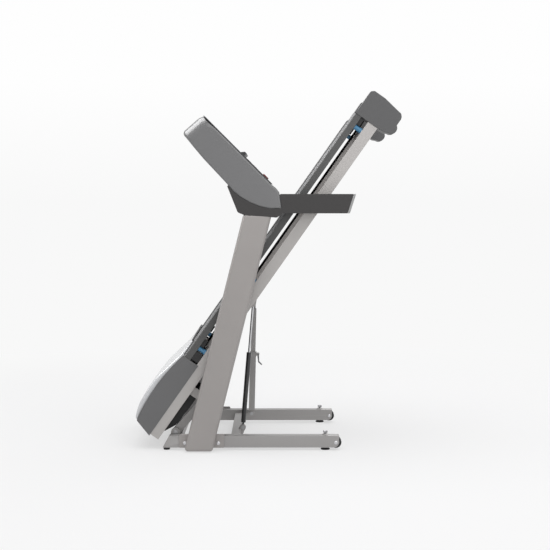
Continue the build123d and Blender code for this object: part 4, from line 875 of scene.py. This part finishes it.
# Painted light: the tread's pale grey stands for the lamps falling on the rail's top and outer slope.
lit_tread_grey = finish("foot_rail_lit_tread", (124, 124, 125), 0.55)
lit_tread_grey["slot"] = "rail_plastic"
rail_start, rail_end = 347, 1609
section = [(350, 83), (350, 110), (348.5, 112), (336.5, 118), (335.5, 118.4), (262, 118.4), (259, 118),
           (258, 117), (258, 102), (261, 102), (261, 115), (334, 115), (347, 109), (347, 83)]
ribs = [(262.5, 118.3)]
for step in range(14):
    y = 264 + step * 5
    ribs += [(y, 118.7), (y + 0.5, 119.5), (y + 2.8, 119.5), (y + 3.3, 118.7)]
ribs += [(334.5, 119.4), (336, 119.4), (338.3, 118.4), (339.2, 117.3), (341.4, 116.6), (342.2, 115.4),
         (344.4, 114.7), (345.2, 113.5), (347.4, 113.2), (348.6, 112.2), (347.8, 111.8), (335.2, 118.2)]
for name, side in (("left", -1), ("right", 1)):
    shape = bmesh.new()
    prism(shape, [(side * y, u) for y, u in section], -rail_end, -rail_start)
    stand(shape, "foot_rail_" + name + "_finished", rail_plastic, "deck", "foot_rail_" + name,
          place=rail_place)
    shape = bmesh.new()
    prism(shape, [(side * y, u) for y, u in ribs], -rail_end, -rail_start)
    stand(shape, "foot_rail_" + name + "_tread", lit_tread_grey, "deck", place=rail_place, sharp=20)


# Rear caps: hollow grey mouldings over the deck's rear corners, rounded all round, with a round
# heel below that rolls on a let-in rubber strip when the deck is lowered.
rear_grey = finish("rear_caps", (80, 80, 81), 0.48, relief=0.2)
rear_grey["slot"] = "hood_dark"
heel_v, heel_u, heel_radius = 1644, -46, 26


def heel_arc(radius, start, end, steps):
    """Points round the heel's centre, from one angle to another in degrees."""
    angles = [radians(start + (end - start) * step / steps) for step in range(steps + 1)]
    return [(heel_v + radius * cos(angle), heel_u + radius * sin(angle)) for angle in angles]


heel = [spot + (0,) for spot in heel_arc(heel_radius, -32, -180, 14)]
cap_line = soften([(1609, 119.5, 2), (1627, 113, 6), (1720, 113, 9), (1731, 100, 9), (1731, 45, 6),
                   (1725, 7, 8), (1717, -47, 8), (1707, -56, 6), (1697, -60, 5)] + heel
                  + [(1611, -33, 6), (1609, 4, 3)], 0)
for name, side in (("left", -1), ("right", 1)):
    shape = bmesh.new()
    prism(shape, cap_line, *sorted((side * 266, side * 354)))
    stand(shape, "rear_cap_" + name, rear_grey, "deck", *(["rear_caps"] if side < 0 else []),
          place=deck_place, edge=4, steps=4)
strip = heel_arc(heel_radius + 0.3, -30, -150, 18) + heel_arc(heel_radius - 2, -150, -30, 18)
shape = bmesh.new()
for side in (-1, 1):
    prism(shape, strip, *sorted((side * 276, side * 344)))
stand(shape, "rear_feet_finished", black_rubber, "deck", "rear_feet", place=deck_place,
      edge=0.4, steps=2)


# Drive motor: a finned black motor on a foot plate, its turned rotor with the flywheel and pulley
# on one end, and the ribbed belt from it to the front roller.
motor_black = finish("motor_black", (38, 38, 40), 0.5)
motor_left, motor_right = -225, -45
motor_v, motor_u = 140, 62
profile = [(0, 9), (0, 36), (3, 44), (8, 47), (16, 48)]
for step in range(14):
    s = 20 + step * 10
    profile += [(s, 48), (s + 1, 45.5), (s + 6, 45.5), (s + 7, 48)]
profile += [(164, 48), (172, 47), (177, 44), (180, 36), (180, 9), (0, 9)]
shape = bmesh.new()
turned(shape, (motor_v, motor_left, motor_u), (0, 1, 0), profile, 64)
foot_plate = [(-34, 4.2), (34, 4.2), (34, 16), (20, 24), (-20, 24), (-34, 16)]
prism(shape, [(motor_v + v, u) for v, u in foot_plate], motor_left + 20, motor_right - 20)
stand(shape, "drive_motor_finished", motor_black, "deck", "drive_motor", place=deck_place)
rotor_steel = finish("motor_rotor", (150, 150, 153), 0.3, metallic=0.9)
rotor_steel["slot"] = "steel"
eased("motor_rotor", rotor_steel, 0.6)
eased("drive_belt", black_rubber, 0.4)


# Incline motor: a black gearmotor with its screw tube, hung on a pin between two ears at the front
# of the deck frame and pulling on the lift frame's lug.
eased("incline_motor", motor_black, 1.2)
eased("incline_tube", steel, 0.6)


# Control board: a green circuit board on four posts, with a finned heat sink, a relay block and a
# row of capacitors standing on it.
eased("control_board", circuit, 0.4, 1)
capacitor = finish("capacitors", (24, 26, 60), 0.35)
capacitor["slot"] = "circuit"
board_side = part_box("control_board")[1].y / MM
shape = bmesh.new()
for step in range(4):
    turned(shape, (212 + step * 13, board_side - 12, 14), (0, 0, 1),
           [(0, 0), (0, 5.2), (1, 5.2), (1.6, 4.8), (2.2, 5.2), (19.4, 5.2), (20, 4.6), (20, 0)], 24)
stand(shape, "control_board_capacitors", capacitor, "deck", place=deck_place)


# Belly pan: a black moulded tray that closes the motor bay from below, hung from the deck frame's
# front crossmember and notched at its rear end for the lift frame's lug.
eased("belly_pan", black_plastic, 1.0)


# Hood base: the dark grey skirt of the motor hood, two side walls and a raked front, screwed to
# the deck tubes from the sides.
hood_dark = finish("hood_dark", (96, 96, 97), 0.5, relief=0.2)
eased("hood_base", hood_dark, 1.6, 3)


# Hood cover: a silver-painted moulding, crowned along and across and rounded down at its sides,
# that drops over the skirt and runs on over the foot rails' ends.
hood_silver = finish("hood_silver", (198, 199, 201), 0.3, metallic=0.25, mottle=0.015, coat=0.3, relief=0.06)
cover_low, cover_high = 112, 163
over_rails = 119.8
hood_top = [(2, cover_low), (8, 130), (15, 137.5), (30, 144), (45, 150), (60, 154.5), (75, 158),
            (100, 161), (130, cover_high), (170, 162.5), (200, 160.5), (233, 155.5), (267, 147.5),
            (300, 140.5), (334, 132.5), (375, 129), (420, 128)]
crown_line = []
for i in range(len(hood_top) - 1):
    before = Vector(hood_top[max(0, i - 1)])
    here, after = Vector(hood_top[i]), Vector(hood_top[i + 1])
    beyond = Vector(hood_top[min(len(hood_top) - 1, i + 2)])
    for step in range(4):
        t = step / 4
        bend = (2 * before - 5 * here + 4 * after - beyond) * t ** 2
        sway = (3 * here - before - 3 * after + beyond) * t ** 3
        crown_line.append(0.5 * (2 * here + (after - before) * t + bend + sway))
crown_line.append(Vector(hood_top[-1]))
cover_half = 343
side_round = 7
columns = [-1, -0.97, -0.9, -0.8, -0.65, -0.5, -0.25, 0, 0.25, 0.5, 0.65, 0.8, 0.9, 0.97, 1]
flat_half = cover_half - side_round
crown_rise = 3
crown_radius = (cover_half ** 2 + crown_rise ** 2) / (2 * crown_rise)
shape = bmesh.new()
rows = []
for v, u in crown_line:
    row = []
    low = cover_low if v < rail_start else over_rails
    share_of_crown = max(0.0, (u - cover_low) / (cover_high - cover_low))
    rim = min(side_round, max(0.5, u - crown_rise - low))
    for share in columns:
        y = share * flat_half
        sag = crown_radius - sqrt(crown_radius ** 2 - y * y)
        row.append((y, u - sag * share_of_crown))
    edge = row[-1][1]
    turns = [pi / 8 * step for step in range(1, 5)]
    fall = [(flat_half + side_round * sin(turn), edge - rim * (1 - cos(turn))) for turn in turns]
    fall.append((cover_half, low))
    full = [(-y, w) for y, w in fall[::-1]] + row + fall
    rows.append([shape.verts.new((v * MM, y * MM, max(w, low) * MM)) for y, w in full])
for one, two in zip(rows, rows[1:]):
    for i in range(len(one) - 1):
        shape.faces.new((one[i], one[i + 1], two[i + 1], two[i]))
shape.faces.new(rows[-1])
bmesh.ops.remove_doubles(shape, verts=shape.verts, dist=1e-5)
bmesh.ops.recalc_face_normals(shape, faces=shape.faces)
piece = stand(shape, "hood_cover_finished", hood_silver, "deck", "hood_cover", place=deck_place, sharp=50)
wall = piece.modifiers.new("wall", "SOLIDIFY")
wall.thickness = 3.5 * MM
wall.offset = -1


# Hood end strip: a thin black strip behind the cover with a flange between the foot rails, over
# the front of the belt.
eased("hood_rear_lip", black_plastic, 1.2)


# Mains ports: a three-pole appliance inlet and a rocker switch, black mouldings snapped into the
# bay in the hood's raked front.
eased("power_inlet", black_plastic, 0.6)
eased("power_switch", black_plastic, 0.8)

low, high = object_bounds()
